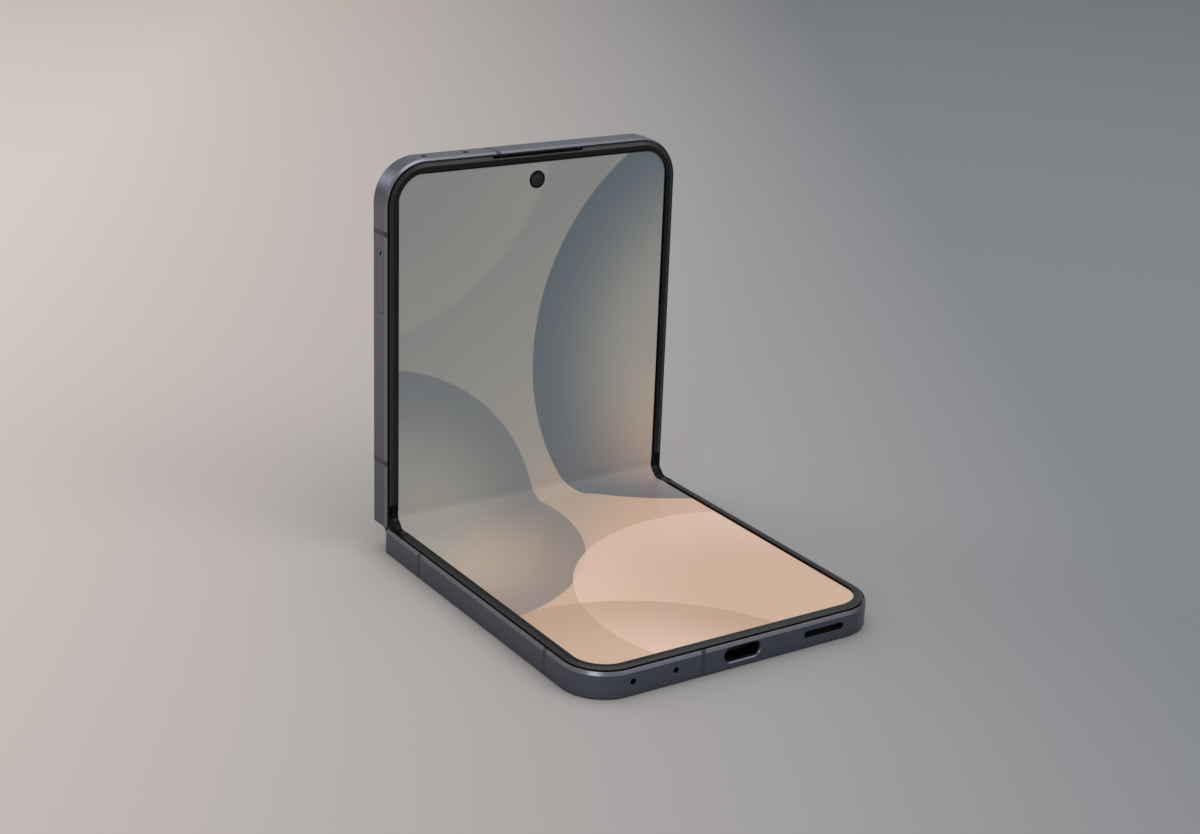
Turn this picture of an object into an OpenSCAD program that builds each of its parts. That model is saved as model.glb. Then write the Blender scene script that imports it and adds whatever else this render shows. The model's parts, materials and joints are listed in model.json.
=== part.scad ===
// Foldable smartphone with a clamshell hinge, shown half open. Millimetres.
// The lower half lies on its back on z = 0 with its fold end towards +y, and the origin is the
// centre of its back. Each half is drawn in its own coordinates: x across, y away from the fold,
// z up from its back. The spine is drawn about the middle of its two parallel axes.

/* [Body] */
// Width across the fold
body_w = 75.2; // [73:0.1:80]
// Length of one half, from its fold end to its far end
half_l = 83; // [82:0.5:90]
// Thickness of one half, from its back to the top of the screen rim
half_t = 6.5; // [6.4:0.1:7.5]
// Outer radius of the far corners
corner_r = 9.7; // [7:0.1:12]
// Angle between the halves as shown, where 180 is open flat
open_angle = 91; // [70:1:130]

/* [Frame] */
// Thickness of the metal side walls
wall = 1.4; // [1.2:0.05:1.6]
// Radius of the edge round the back
edge_r = 0.4; // [0.2:0.05:0.6]
// Width of the bright chamfer beside the screen
chamfer_w = 0.35; // [0.2:0.05:0.4]
// Height of that chamfer
chamfer_h = 0.76; // [0.4:0.02:1]
// Width of the lip outside the dark groove
groove_in = 0.45; // [0.42:0.01:0.6]
// Drop from the rim's top to the frame's top
frame_drop = 0.6; // [0.5:0.05:0.7]
// Thickness of the deck that carries the screen
deck_t = 0.6; // [0.4:0.05:0.8]
// Width of the ledge that the back glass is glued to
ledge_w = 1.5; // [1:0.1:2.5]
// Width of the plastic bands across the frame
band_w = 1.2; // [0.8:0.1:1.6]
// Depth of those bands in the wall
band_depth = 0.8; // [0.6:0.05:1]

/* [Screen] */
// Drop from the rim's top to the screen
screen_drop = 0.4; // [0.3:0.05:0.45]
// Thickness of the folding panel
panel_t = 0.45; // [0.3:0.05:0.5]
// Thickness of the steel plate under the panel
plate_t = 0.15; // [0.1:0.05:0.3]
// Distance from the body's side to the rim
rim_out = 0.8; // [0.7:0.05:0.9]
// Distance from the body's side to the rim's inner edge
rim_in = 2.65; // [2.2:0.05:3]
// Width of the rim's outer bevel
rim_bevel_w = 0.75; // [0.4:0.05:0.9]
// Height of the rim's outer bevel
rim_bevel_h = 0.35; // [0.2:0.05:0.38]
// Thickness of the rim's foot beside the panel
rim_foot = 0.55; // [0.4:0.05:0.6]
// Distance from the fold end to the start of the lower rim
lower_rim_start = 6.3; // [5.5:0.1:8]
// Distance from the fold end to the start of the upper rim
upper_rim_start = 5.2; // [5:0.1:8]
// Diameter of the hole in the panel for the front camera
front_hole_d = 4.1; // [3:0.1:5]
// Distance of the front camera from the far end
front_camera_in = 6.9; // [6.5:0.1:8]

/* [Hinge] */
// Half the distance between the two hinge axes
axis_half = 1.9; // [1.8:0.05:2.1]
// Gap between the rims when folded shut
shut_gap = 0.7; // [0.6:0.05:0.9]
// Gap from each half's fold end to the middle when open flat
end_gap = 0.35; // [0.3:0.05:0.5]
// Thickness of the spine's shell
spine_t = 0.55; // [0.45:0.05:0.6]
// Running gap between the spine and the halves
run_gap = 0.15; // [0.1:0.05:0.25]
// Thickness of the caps at the spine's ends
cap_t = 0.8; // [0.5:0.1:1.5]
// Height of the spine shell's edges below the hinge axes
spine_edge = 0.78; // [0.72:0.02:0.9]
// Distance of each hinge module's middle from the body's side
module_side = 13.6; // [11:0.1:19]
// Length of a hinge module along the fold
module_l = 14; // [13:0.5:18]
// Thickness of the ears that hold the pins
ear_t = 1; // [0.8:0.1:1.4]
// Radius of the hinge pins
pin_r = 0.35; // [0.3:0.01:0.38]
// Radius of the knuckles round the pins
knuckle_r = 0.62; // [0.56:0.01:0.65]
// Radial clearance of what turns on a pin
pin_play = 0.05; // [0.02:0.01:0.08]
// Depth of the arms' top below the hinge axes
arm_drop = 0.15; // [0.1:0.01:0.2]
// Thickness of the arms
arm_t = 0.5; // [0.4:0.05:0.55]
// Distance from the fold end to the arms' ends
arm_end = 9.8; // [9.4:0.1:10.6]
// Length of the gear teeth along the fold
gear_l = 3.6; // [2:0.1:4.4]
// Module of the gear teeth
tooth_m = 0.2; // [0.19:0.005:0.21]
// Distance from the fold end to where the screen starts to bend
bend_start = 4.55; // [4.3:0.05:5]

/* [Back] */
// Thickness of the glass backs
glass_t = 0.45; // [0.4:0.05:0.6]
// Distance from the body's side to the glass
glass_in = 0.9; // [0.7:0.05:1.1]
// Distance from the fold end to the glass
glass_start = 1.6; // [1.2:0.1:2.5]
// Thickness of the ledge behind the glass
ledge_t = 0.3; // [0.2:0.05:0.4]
// Distance from the body's side to the cover display
cover_side = 4.6; // [4.2:0.1:9]
// Distance from the far end to the cover display
cover_in = 23.4; // [21:0.1:33]

/* [Cameras] */
// Diameter of the rear camera rings
ring_d = 12.4; // [11:0.1:13.4]
// Width of the rings' metal
ring_w = 1.3; // [0.8:0.1:2]
// How far the rings stand out of the back
ring_proud = 1.1; // [0.6:0.1:1.6]
// Distance between the two rear cameras
camera_pitch = 14.5; // [13.8:0.1:15.5]
// Distance of the outer rear camera from the body's side
camera_side = 11; // [10.5:0.1:12]
// Distance of the rear cameras from the far end
camera_in = 12; // [11:0.1:13]
// Diameter of the flash
flash_d = 3.8; // [2.5:0.1:4.5]

/* [Ports] */
// Width of the charging socket's opening
port_w = 9; // [8.8:0.05:9.6]
// Height of the charging socket's opening
port_h = 3.2; // [3.1:0.05:3.4]
// Width and depth of the chamfer round that opening
port_lip = 0.25; // [0.1:0.05:0.35]
// Height of the sockets' and slots' middle above the back
port_z = 3.2; // [3.1:0.05:3.4]
// Depth of the charging socket
port_depth = 7.4; // [6.5:0.1:9]
// Thickness of the socket's metal shell
port_shell = 0.25; // [0.2:0.05:0.35]
// Width of the loudspeaker slot
slot_w = 10.5; // [8:0.1:12]
// Height of the loudspeaker slot
slot_h = 1.6; // [1.2:0.1:2]
// Distance of the loudspeaker slot's middle from the body's side
slot_side = 16.45; // [15:0.05:18.5]
// Diameter of the microphone holes
mic_d = 1.35; // [0.9:0.05:1.5]
// Distance of the outer microphone holes from the body's side
mic_side = 10.75; // [10.3:0.05:12]
// Distance between the microphone holes
mic_pitch = 10.3; // [9:0.1:12]
// Length of the earpiece slot
ear_slot_l = 23.7; // [18:0.1:26]
// Width of the earpiece slot
ear_slot_w = 0.5; // [0.4:0.05:0.52]

/* [Keys and tray] */
// Length of the volume key
volume_l = 16.5; // [14:0.1:18]
// Distance from the far end to the volume key's middle
volume_in = 26; // [25:0.5:27]
// Length of the side key
power_l = 11.5; // [10:0.1:12]
// Distance from the far end to the side key's middle
power_in = 43.5; // [42.5:0.5:45]
// Height of the keys across the side
key_h = 2.2; // [1.8:0.1:2.6]
// How far the keys stand out of the side
key_proud = 0.35; // [0.2:0.05:0.5]
// Travel of the keys
key_travel = 0.3; // [0.2:0.05:0.4]
// Gap round the keys and the tray
key_gap = 0.1; // [0.06:0.01:0.15]
// Length of the card tray's face
tray_l = 14.5; // [14:0.1:15.4]
// Height of the card tray's face
tray_h = 2.8; // [2.6:0.1:3]
// Distance from the far end to the card tray's middle
tray_in = 26.25; // [25.5:0.05:26.5]
// Height of the card tray's middle above the back
tray_z = 3.4; // [3.3:0.05:3.45]
// Depth of the card tray in the body
tray_depth = 17; // [15:0.5:18]
// Thickness of the tray's carrier
tray_t = 0.9; // [0.7:0.05:1]
// Diameter of the tray's ejector hole
eject_d = 0.9; // [0.7:0.05:1.1]

/* [Inside] */
// Clearance round parts that sit in the frame
fit = 0.05; // [0.02:0.01:0.08]
// Distance from the far end to the lower battery
lower_cell_in = 25; // [24:0.5:31]
// Distance from the far end to the upper battery
upper_cell_in = 40; // [39:0.5:43]
// Distance from the body's side to the batteries
cell_side = 5.1; // [4.5:0.1:8.6]
// Distance from the fold end to the batteries
cell_start = 12; // [11:0.1:12.5]
// Thickness of the boards
board_t = 0.65; // [0.5:0.05:0.8]
// Height of the main board above the back
board_z = 1.6; // [1.5:0.05:1.65]
// Distance from the lower battery's ends to the charging coil
coil_in = 2; // [1:0.5:7]
// Width of the charging coil's winding
coil_w = 10; // [6:0.5:12]
// Radius of the board screws
screw_r = 0.5; // [0.4:0.05:0.6]

/* [Hidden] */
$fn = 64;

side_x = body_w / 2;
wall_x = side_x - wall;
fold_turn = (180 - open_angle) / 2;

// Levels above a half's back
lip_t = glass_t + ledge_t;
screen_top = half_t - screen_drop;
panel_low = screen_top - panel_t;
deck_top = panel_low - plate_t;
deck_low = deck_top - deck_t;
frame_top = half_t - frame_drop;

// The hinge axis in a half, the spine's radii and the room for the spine
axis_z = half_t + shut_gap / 2 - axis_half;
axis_y = axis_half - end_gap;
room_r = axis_z - lip_t;
spine_r = room_r - run_gap;
bore_r = spine_r - spine_t;
room_end = axis_y + room_r;
bulkhead = 1.85;
bulkhead_end = room_end + bulkhead;
spine_half = wall_x - run_gap;
shell_half = spine_half - cap_t;

// The hinge's place in the whole: the lower axis, and the lower half's fold end
fold_end_y = half_l / 2;
lower_axis_y = fold_end_y - axis_y;

// Gears: 12 teeth to the circle on the arms, 10 on the idlers
arm_teeth = 12;
idler_teeth = 10;
arm_pitch = arm_teeth * tooth_m / 2;
idler_pitch = idler_teeth * tooth_m / 2;
tooth_up = 0.8 * tooth_m;
tooth_down = 1.2 * tooth_m;
tooth_root = 0.85 * tooth_m;
tooth_tip = 0.42 * tooth_m;
idler_out = axis_half - idler_pitch;
idler_drop = sqrt(pow(arm_pitch + idler_pitch, 2) - pow(idler_out, 2));
mesh_turn = -atan2(idler_drop, idler_out);
arm_mesh = mesh_turn + fold_turn;
arm_step = 360 / arm_teeth;
idler_step = 360 / idler_teeth;

// Modules: ears at the ends, knuckles and gears between
module_half = module_l / 2;
knuckle_end = module_half - ear_t - pin_play * 2;
gear_half = gear_l / 2;
plate_gap = 0.2;
module_x = side_x - module_side;

// Screen bend: the flat strip turns smoothly from each half to the spine
bend_back = bend_start - axis_y;
strip_top = screen_top - axis_z;
strip_low = panel_low - axis_z;
bend_steps = 18;

// Rims and panel
panel_in = rim_out + rim_foot + 3 * fit;
rim_end_cut = 0.3;
front_y = half_l - front_camera_in;

// Cameras
camera_y = half_l - camera_in;
camera_xs = [side_x - camera_side, side_x - camera_side - camera_pitch];
flash_x = camera_xs[1] - ring_d / 2 - flash_d / 2 - 1.2;
module_w = ring_d - 2 * ring_w + 0.6;
lens_t = 0.5;

// Keys and tray
volume_y = half_l - volume_in;
power_y = half_l - power_in;
tray_y = half_l - tray_in;
key_flange = 0.5;
key_flange_t = 0.45;
key_z = half_t / 2;
tray_face_t = wall - fit;
eject_in = 1.1;
eject_y = tray_y + tray_l / 2 - eject_in;
reader_wall = 0.25;
reader_gap = 0.15;
carrier_in = 0.75;
carrier_w = tray_l - 2 * carrier_in;

// Boards, cells and posts
board_top = board_z + board_t;
port_board_z = port_z - port_h / 2 - board_t;
screw_head_t = 0.3;
screw_head_r = screw_r + 0.5;
post_r = screw_r + 0.9;
post_side = 6.3;
post_x = side_x - post_side;
lower_cell_end = half_l - lower_cell_in;
upper_cell_end = half_l - upper_cell_in;
inner_end = half_l - wall;
port_board_gap = 2;
main_board_gap = 1.5;
port_board_start = lower_cell_end + port_board_gap;
main_board_start = upper_cell_end + main_board_gap;
cell_z = lip_t + 0.45;
upper_cell_z = 1.25;

// Holes in the far wall: two microphones in either half and the loudspeaker's slot in the lower
mic_xs = [mic_side - side_x, mic_side + mic_pitch - side_x];
slot_x = side_x - slot_side;

module along_x(x0, x1) translate([x0, 0, 0]) rotate([90, 0, 90]) linear_extrude(x1 - x0) children();
module along_y(y0, y1) translate([0, y1, 0]) rotate([90, 0, 0]) linear_extrude(y1 - y0) children();
module slab(z0, z1) translate([0, 0, z0]) linear_extrude(z1 - z0) children();
module block(x0, x1, y0, y1, z0, z1) translate([x0, y0, z0]) cube([x1 - x0, y1 - y0, z1 - z0]);
module post(x, y, z0, z1, r) translate([x, y, z0]) cylinder(r = r, h = z1 - z0);
module both_sides() {
    children();
    mirror([1, 0, 0]) children();
}

// A rectangle across the half from y0 to y1, with its own radii at the far and near corners
module sheet(half_w, y0, y1, far_r, near_r) {
    translate([-half_w, y0 + near_r]) square([2 * half_w, y1 - y0 - near_r - far_r]);
    translate([-half_w + far_r, y1 - far_r]) square([2 * (half_w - far_r), far_r]);
    translate([-half_w + near_r, y0]) square([2 * (half_w - near_r), near_r]);
    for (side = [-1, 1]) {
        translate([side * (half_w - far_r), y1 - far_r]) circle(r = far_r);
        translate([side * (half_w - near_r), y0 + near_r]) circle(r = near_r);
    }
}

// A slot outline with round ends, centred
module pill(w, h) {
    square([w - h, h], center = true);
    for (side = [-1, 1]) translate([side * (w - h) / 2, 0]) circle(r = h / 2);
}

// Sweeps a section, given as distance in from the side and height, along both sides and the far end
module swept(section, y0) {
    both_sides() {
        along_y(y0, half_l - corner_r) polygon([for (p = section) [side_x - p[0], p[1]]]);
        translate([side_x - corner_r, half_l - corner_r, 0])
            rotate_extrude(angle = 90) polygon([for (p = section) [corner_r - p[0], p[1]]]);
    }
    along_x(corner_r - side_x, side_x - corner_r)
        polygon([for (p = section) [half_l - p[0], p[1]]]);
}

// A chamfered mouth in the far wall: a pill that widens outwards by as much as it is deep. It
// goes on past the wall's face by a little, so that the cut comes out clean
mouth_over = 0.1;
module mouth(w, h, lip) {
    deep = lip + mouth_over;
    along_x((h - w) / 2, (w - h) / 2) translate([half_l - lip, 0])
        polygon([[0, -h / 2], [deep, -h / 2 - deep], [deep, h / 2 + deep], [0, h / 2]]);
    for (side = [-1, 1]) translate([side * (w - h) / 2, half_l + mouth_over, 0])
        rotate([90, 0, 0]) cylinder(r1 = h / 2 + deep, r2 = h / 2, h = deep);
}

// Places of the three bodies as shown
module at_lower() translate([0, fold_end_y, 0]) mirror([0, 1, 0]) children();
module at_spine() translate([0, lower_axis_y, axis_z]) rotate([fold_turn, 0, 0])
    translate([0, axis_half, 0]) children();
module at_upper() translate([0, lower_axis_y, axis_z]) rotate([fold_turn, 0, 0])
    translate([0, 2 * axis_half, 0]) rotate([fold_turn, 0, 0])
    translate([0, -axis_y, -axis_z]) children();

// Sections of the frame's wall
outer_edge = concat(
    [for (a = [0 : 22.5 : 90]) [edge_r * (1 - sin(a)), edge_r * (1 - cos(a))]],
    [[0, frame_top - chamfer_h], [chamfer_w, frame_top], [groove_in, frame_top],
     [groove_in, deck_top]]);
glass_edge = glass_in - fit;
open_wall = concat(outer_edge, [[wall + ledge_w / 2, deck_top], [wall + ledge_w / 2, deck_low],
    [wall, deck_low], [wall, lip_t], [glass_edge + ledge_w, lip_t], [glass_edge + ledge_w, glass_t],
    [glass_edge, glass_t], [glass_edge, 0]]);
hinge_wall = concat(outer_edge, [[wall, deck_top], [wall, glass_t], [glass_edge, glass_t],
    [glass_edge, 0]]);
end_wall = concat(outer_edge, [[wall, deck_top], [wall, 0]]);
end_bevel = 0.3;

// The frame of either half: walls, deck, and the bulkhead and lip that the spine turns in
module frame_body() {
    difference() {
        union() {
            swept(open_wall, bulkhead_end);
            both_sides() {
                along_y(glass_start - fit, bulkhead_end)
                    polygon([for (p = hinge_wall) [side_x - p[0], p[1]]]);
                along_y(0, glass_start - fit)
                    polygon([for (p = end_wall) [side_x - p[0], p[1]]]);
            }
            slab(deck_low, deck_top)
                sheet(wall_x, bulkhead_end, inner_end, corner_r - wall, 0.1);
            along_x(-wall_x, wall_x) difference() {
                polygon([[0, 0], [glass_start - fit, 0], [glass_start - fit, glass_t],
                    [bulkhead_end, glass_t], [bulkhead_end, deck_top], [0, deck_top]]);
                translate([axis_y, axis_z]) circle(r = room_r);
                translate([-1, lip_t]) square([axis_y + 1, room_r + 1]);
                translate([-1, axis_z]) square([room_end + 1, half_t]);
            }
        }
        along_x(-side_x - 1, side_x + 1) {
            polygon([[-1, -1], [end_bevel + 1, -1], [end_bevel, 0], [0, end_bevel],
                [-1, end_bevel]]);
            polygon([[-1, half_t + 1], [end_bevel, half_t + 1], [end_bevel, frame_top],
                [0, frame_top - end_bevel], [-1, frame_top - end_bevel]]);
        }
    }
}

// Slots in the bulkhead for one half's hinge arms, which lie on the side given by sign
module arm_slots(sign) for (m = [-1, 1]) {
    x0 = m * module_x + min(sign * (gear_half + plate_gap), sign * knuckle_end);
    block(x0 - fit, x0 + knuckle_end - gear_half - plate_gap + fit, room_end - 1, bulkhead_end + 1,
        axis_z - arm_drop - arm_t - fit, deck_low);
}

// Where the plastic bands cross the walls: two places on each side and one on the far end
band_near = 15.2;
band_far = 15.9;
lower_band_ys = [band_near, half_l - band_far];
upper_band_ys = [band_near, half_l - band_far + 0.3];
end_band_x = -9.8;
module band_cuts(ys) {
    for (side = [-1, 1], y = ys)
        block(side * side_x - band_depth, side * side_x + band_depth, y - band_w / 2, y + band_w / 2,
            -1, half_t);
    block(end_band_x - band_w / 2, end_band_x + band_w / 2, half_l - band_depth, half_l + 1,
        -1, half_t);
}

// Posts that the boards are screwed to, hanging from the deck
far_post = 4;
near_post = 2.6;
side_post = 10;
socket_post = port_w;
lower_posts = [[-post_x, inner_end - far_post], [socket_post, inner_end - far_post],
    [-socket_post, port_board_start + 2 * near_post], [post_x, port_board_start + near_post]];
upper_posts = [[-post_x, inner_end - 2 * far_post], [post_x, camera_y - side_post],
    [-post_x, main_board_start + near_post], [side_post, main_board_start + far_post]];
module posts(places, z0) for (p = places) post(p[0], p[1], z0, deck_low + 0.1, post_r);
module post_holes(places, z0) for (p = places) post(p[0], p[1], z0 - 1, deck_low, screw_r);
module arm_screw_places(sign) for (m = [-1, 1])
    translate([m * module_x + sign * (knuckle_end + gear_half + plate_gap) / 2, arm_screw_y, 0])
        children();
arm_screw_y = arm_end - 1.1;
arm_screw_top = deck_low + 0.45;

module lower_frame() {
    color("#4b4b55") at_lower() difference() {
        union() {
            frame_body();
            posts(lower_posts, port_board_z + board_t);
        }
        band_cuts(lower_band_ys);
        arm_slots(-1);
        post_holes(lower_posts, port_board_z + board_t);
        arm_screw_places(-1) cylinder(r = screw_r, h = arm_screw_top);
        translate([0, 0, port_z]) {
            along_y(inner_end - 1, half_l + 1) pill(port_w, port_h);
            mouth(port_w, port_h, port_lip);
            translate([slot_x, 0, 0]) along_y(inner_end - 1, half_l + 1) pill(slot_w, slot_h);
            for (x = mic_xs)
                translate([x, 0, 0]) along_y(inner_end - 1, half_l + 1) circle(d = mic_d);
        }
    }
}

module lower_bands() {
    color("#3f3f49") at_lower() intersection() {
        swept(open_wall, bulkhead_end);
        band_cuts(lower_band_ys);
    }
}

// The raised rim: a foot beside the panel and a lip over its edge
rim_section = [[rim_out, deck_top], [rim_out, half_t - rim_bevel_h],
    [rim_out + rim_bevel_w, half_t], [rim_in, half_t], [rim_in, screen_top],
    [rim_out + rim_foot, screen_top], [rim_out + rim_foot, deck_top]];
module rim_body(y0) difference() {
    swept(rim_section, y0);
    along_x(-side_x - 1, side_x + 1)
        polygon([[y0 - 1, half_t - rim_end_cut], [y0, half_t - rim_end_cut],
            [y0 + rim_end_cut, half_t], [y0 + rim_end_cut, half_t + 1], [y0 - 1, half_t + 1]]);
}
module lower_rim() {
    color("#2b2b2c") at_lower() rim_body(lower_rim_start);
}

module panel_outline(y0) sheet(side_x - panel_in, y0, half_l - panel_in, corner_r - panel_in, 0.02);
module lower_screen() {
    color("#9a968f") at_lower() slab(panel_low, screen_top) panel_outline(bend_start);
}
module lower_screen_plate() {
    color("#8b8d90") at_lower() slab(deck_top, panel_low) panel_outline(bend_start);
}

module glass_outline()
    sheet(side_x - glass_in, glass_start, half_l - glass_in, corner_r - glass_in, 0.6);
module lower_back_glass() {
    color("#5a5b66") at_lower() slab(0, glass_t) glass_outline();
}

// A cell with rounded long edges, from height z0 to the deck
cell_r = 1.2;
module cell(y0, y1, z0) slab(z0, deck_low - 2 * fit)
    sheet(side_x - cell_side, y0, y1, cell_r, cell_r);
module lower_battery() {
    color("#2e3034") at_lower() cell(cell_start, lower_cell_end, cell_z);
}

coil_y = (cell_start + lower_cell_end) / 2;
coil_r = (lower_cell_end - cell_start) / 2 - coil_in;
coil_turns = 6;
module charging_coil() {
    color("#b0703a") at_lower() slab(glass_t, cell_z) translate([0, coil_y]) difference() {
        circle(r = coil_r);
        circle(r = coil_r - coil_w);
        for (k = [1 : coil_turns - 1]) difference() {
            circle(r = coil_r - coil_w * k / coil_turns + 0.15);
            circle(r = coil_r - coil_w * k / coil_turns - 0.15);
            translate([-1, 0]) square([2, coil_r]);
        }
    }
}

port_board_side = 4.1;
board_gap = 0.3;
module port_board() {
    color("#1f4a3a") at_lower() difference() {
        slab(port_board_z, port_board_z + board_t)
            sheet(side_x - port_board_side, port_board_start, inner_end - board_gap,
                corner_r - wall - board_gap, 1);
        for (p = lower_posts) post(p[0], p[1], 0, half_t, screw_r);
    }
}

// The charging socket: a flattened tube closed behind, with a tongue in its middle
tongue_w = 6.7;
tongue_t = 0.7;
tongue_in = 2.2;
socket_front = 0.5;
module charging_socket() {
    color("#a9abb0") at_lower() translate([0, 0, port_z]) {
        difference() {
            along_y(half_l - socket_front - port_depth, half_l - socket_front)
                pill(port_w - 2 * fit, port_h - 2 * fit);
            along_y(half_l - port_depth, half_l)
                pill(port_w - 2 * fit - 2 * port_shell, port_h - 2 * fit - 2 * port_shell);
        }
        block(-tongue_w / 2, tongue_w / 2, half_l - port_depth - 0.1, half_l - tongue_in,
            -tongue_t / 2, tongue_t / 2);
    }
}

// The loudspeaker box, and its snout that reaches the slot
speaker_gap = 1;
speaker_side = 7.1;
speaker_x0 = socket_post + post_r + speaker_gap;
speaker_x1 = side_x - speaker_side;
speaker_l = 13;
snout_l = 1.2;
snout_wall = 0.4;
module loudspeaker() {
    color("#202124") at_lower() {
        block(speaker_x0, speaker_x1, inner_end - snout_l - speaker_l, inner_end - snout_l,
            port_board_z + board_t, deck_low - 2 * fit);
        translate([slot_x, 0, port_z]) along_y(inner_end - snout_l - 0.1, inner_end) difference() {
            pill(slot_w + 2 * snout_wall, slot_h + 2 * snout_wall);
            pill(slot_w, slot_h);
        }
    }
}

// Woven mesh just behind the loudspeaker slot, with its holes
mesh_t = 0.12;
mesh_y = inner_end + 0.3;
mesh_pitch = 0.7;
mesh_hole = 0.22;
module speaker_mesh() {
    cols = floor((slot_w - slot_h) / mesh_pitch / 2);
    color("#0c0d10") at_lower() translate([slot_x, 0, port_z]) along_y(mesh_y, mesh_y + mesh_t)
        difference() {
            pill(slot_w, slot_h);
            for (i = [-cols : cols], j = [-0.5, 0.5])
                translate([i * mesh_pitch, j * mesh_pitch]) circle(r = mesh_hole, $fn = 16);
        }
}

motor = [12, 7.5];
motor_side = 4.6;
motor_gap = 1.5;
module vibration_motor() {
    color("#8d9096") at_lower() slab(port_board_z + board_t, deck_low - 2 * fit)
        translate([motor_side - side_x, port_board_start + motor_gap]) square(motor);
}

// Microphone cans behind their holes in the far wall
mic_can = [3.4, 2.6];
mic_gap = 0.1;
module mic_cans(z0) for (x = mic_xs)
    block(x - mic_can[0] / 2, x + mic_can[0] / 2, inner_end - mic_gap - mic_can[1],
        inner_end - mic_gap, z0, port_z + mic_d / 2 + 0.3);
module lower_microphones() {
    color("#b8a46a") at_lower() mic_cans(port_board_z + board_t);
}

// A screw pointing up: its head with a hexagon socket below z0, and its shank to z1
screw_socket_r = 0.3;
screw_socket_l = 0.15;
module screw(z0, z1) {
    post(0, 0, z0, z1, screw_r);
    difference() {
        post(0, 0, z0 - screw_head_t, z0, screw_head_r);
        translate([0, 0, z0 - screw_head_t - 1])
            cylinder(r = screw_socket_r, h = 1 + screw_socket_l, $fn = 6);
    }
}
module lower_screws() {
    color("#6d6f73") at_lower() {
        for (p = lower_posts) translate([p[0], p[1], 0]) screw(port_board_z, deck_low);
        arm_screw_places(-1) screw(axis_z - arm_drop - arm_t, arm_screw_top);
    }
}

// One straight-sided tooth, pointing along +x from the root circle
module tooth(pitch_r) polygon([[pitch_r - tooth_down - 0.05, -tooth_root],
    [pitch_r + tooth_up, -tooth_tip], [pitch_r + tooth_up, tooth_tip],
    [pitch_r - tooth_down - 0.05, tooth_root]]);

// The toothed sector about a half's axis, for the mesh at the angle shown and its first tooth
module sector(first, count) {
    for (k = [0 : count - 1]) rotate(arm_mesh + first + k * arm_step) tooth(arm_pitch);
    intersection() {
        circle(r = arm_pitch - tooth_down);
        rotate(arm_mesh + first - arm_step / 2)
            polygon(concat([[0, 0]], [for (k = [0 : count]) 2 * [cos(k * arm_step), sin(k * arm_step)]]));
    }
}

// Hinge arms of one half. They lie on the side given by sign, and first sets the teeth's phase
module hinge_arms(sign, first, count) for (m = [-1, 1]) translate([m * module_x, 0, 0]) {
    x0 = min(sign * (gear_half + plate_gap), sign * knuckle_end);
    x1 = max(sign * (gear_half + plate_gap), sign * knuckle_end);
    difference() {
        union() {
            along_x(x0, x1) polygon([[axis_y, axis_z - arm_drop - arm_t],
                [arm_end, axis_z - arm_drop - arm_t], [arm_end, deck_low],
                [room_end + fit, deck_low], [room_end + fit, axis_z - arm_drop],
                [axis_y, axis_z - arm_drop]]);
            along_x(min(x0, -gear_half), max(x1, gear_half)) translate([axis_y, axis_z])
                circle(r = knuckle_r);
            along_x(-gear_half, gear_half) translate([axis_y, axis_z]) mirror([1, 0])
                sector(first, count);
        }
        along_x(-module_half, module_half) translate([axis_y, axis_z])
            circle(r = pin_r + pin_play);
        translate([(x0 + x1) / 2, arm_screw_y, 0]) cylinder(r = screw_r, h = half_t);
    }
}
module lower_hinge_arms() {
    color("#777a80") at_lower() hinge_arms(-1, -2.5 * arm_step, 5);
}

// Ribbon from a board, folded up against the deck and back towards the bulkhead
flex_t = 0.12;
flex_foot = 1.5;
flex_w = 8;
flex_x = -flex_w / 2;
module flex(x0, y_board, z_board, y_end) {
    top = deck_low - fit;
    along_x(x0, x0 + flex_w) polygon([[y_board, z_board], [y_board + flex_foot, z_board],
        [y_board + flex_foot, z_board + flex_t], [y_board + flex_t, z_board + flex_t],
        [y_board + flex_t, top], [y_end, top], [y_end, top - flex_t], [y_board, top - flex_t]]);
}
module lower_flex() {
    color("#7a4a1e") at_lower() flex(flex_x - 2 * flex_w, lower_cell_end + 1.2, port_board_z + board_t,
        lower_cell_end + 0.2);
}

// Outline across the spine below a level: two circles joined, as round the two axes
module stadium(r, top) intersection() {
    union() {
        for (side = [-1, 1]) translate([side * axis_half, 0]) circle(r = r);
        translate([-axis_half, -r]) square([2 * axis_half, 2 * r]);
    }
    translate([-2 * r, -2 * r]) square([4 * r, 2 * r + top]);
}
module spine_cover() {
    color("#8f9199") at_spine() along_x(-shell_half, shell_half) difference() {
        stadium(spine_r, -spine_edge);
        stadium(bore_r, 1);
    }
}
module spine_end_caps() {
    color("#3a3b42") at_spine() both_sides() along_x(shell_half, spine_half) {
        stadium(spine_r, -spine_edge);
        translate([-axis_half, -spine_edge - 0.1]) square([2 * axis_half, spine_edge + 0.1]);
        for (side = [-1, 1]) translate([side * axis_half, 0]) {
            circle(r = knuckle_r);
            translate([-knuckle_r, -spine_edge - 0.1]) square([2 * knuckle_r, spine_edge + 0.1]);
        }
    }
}

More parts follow.
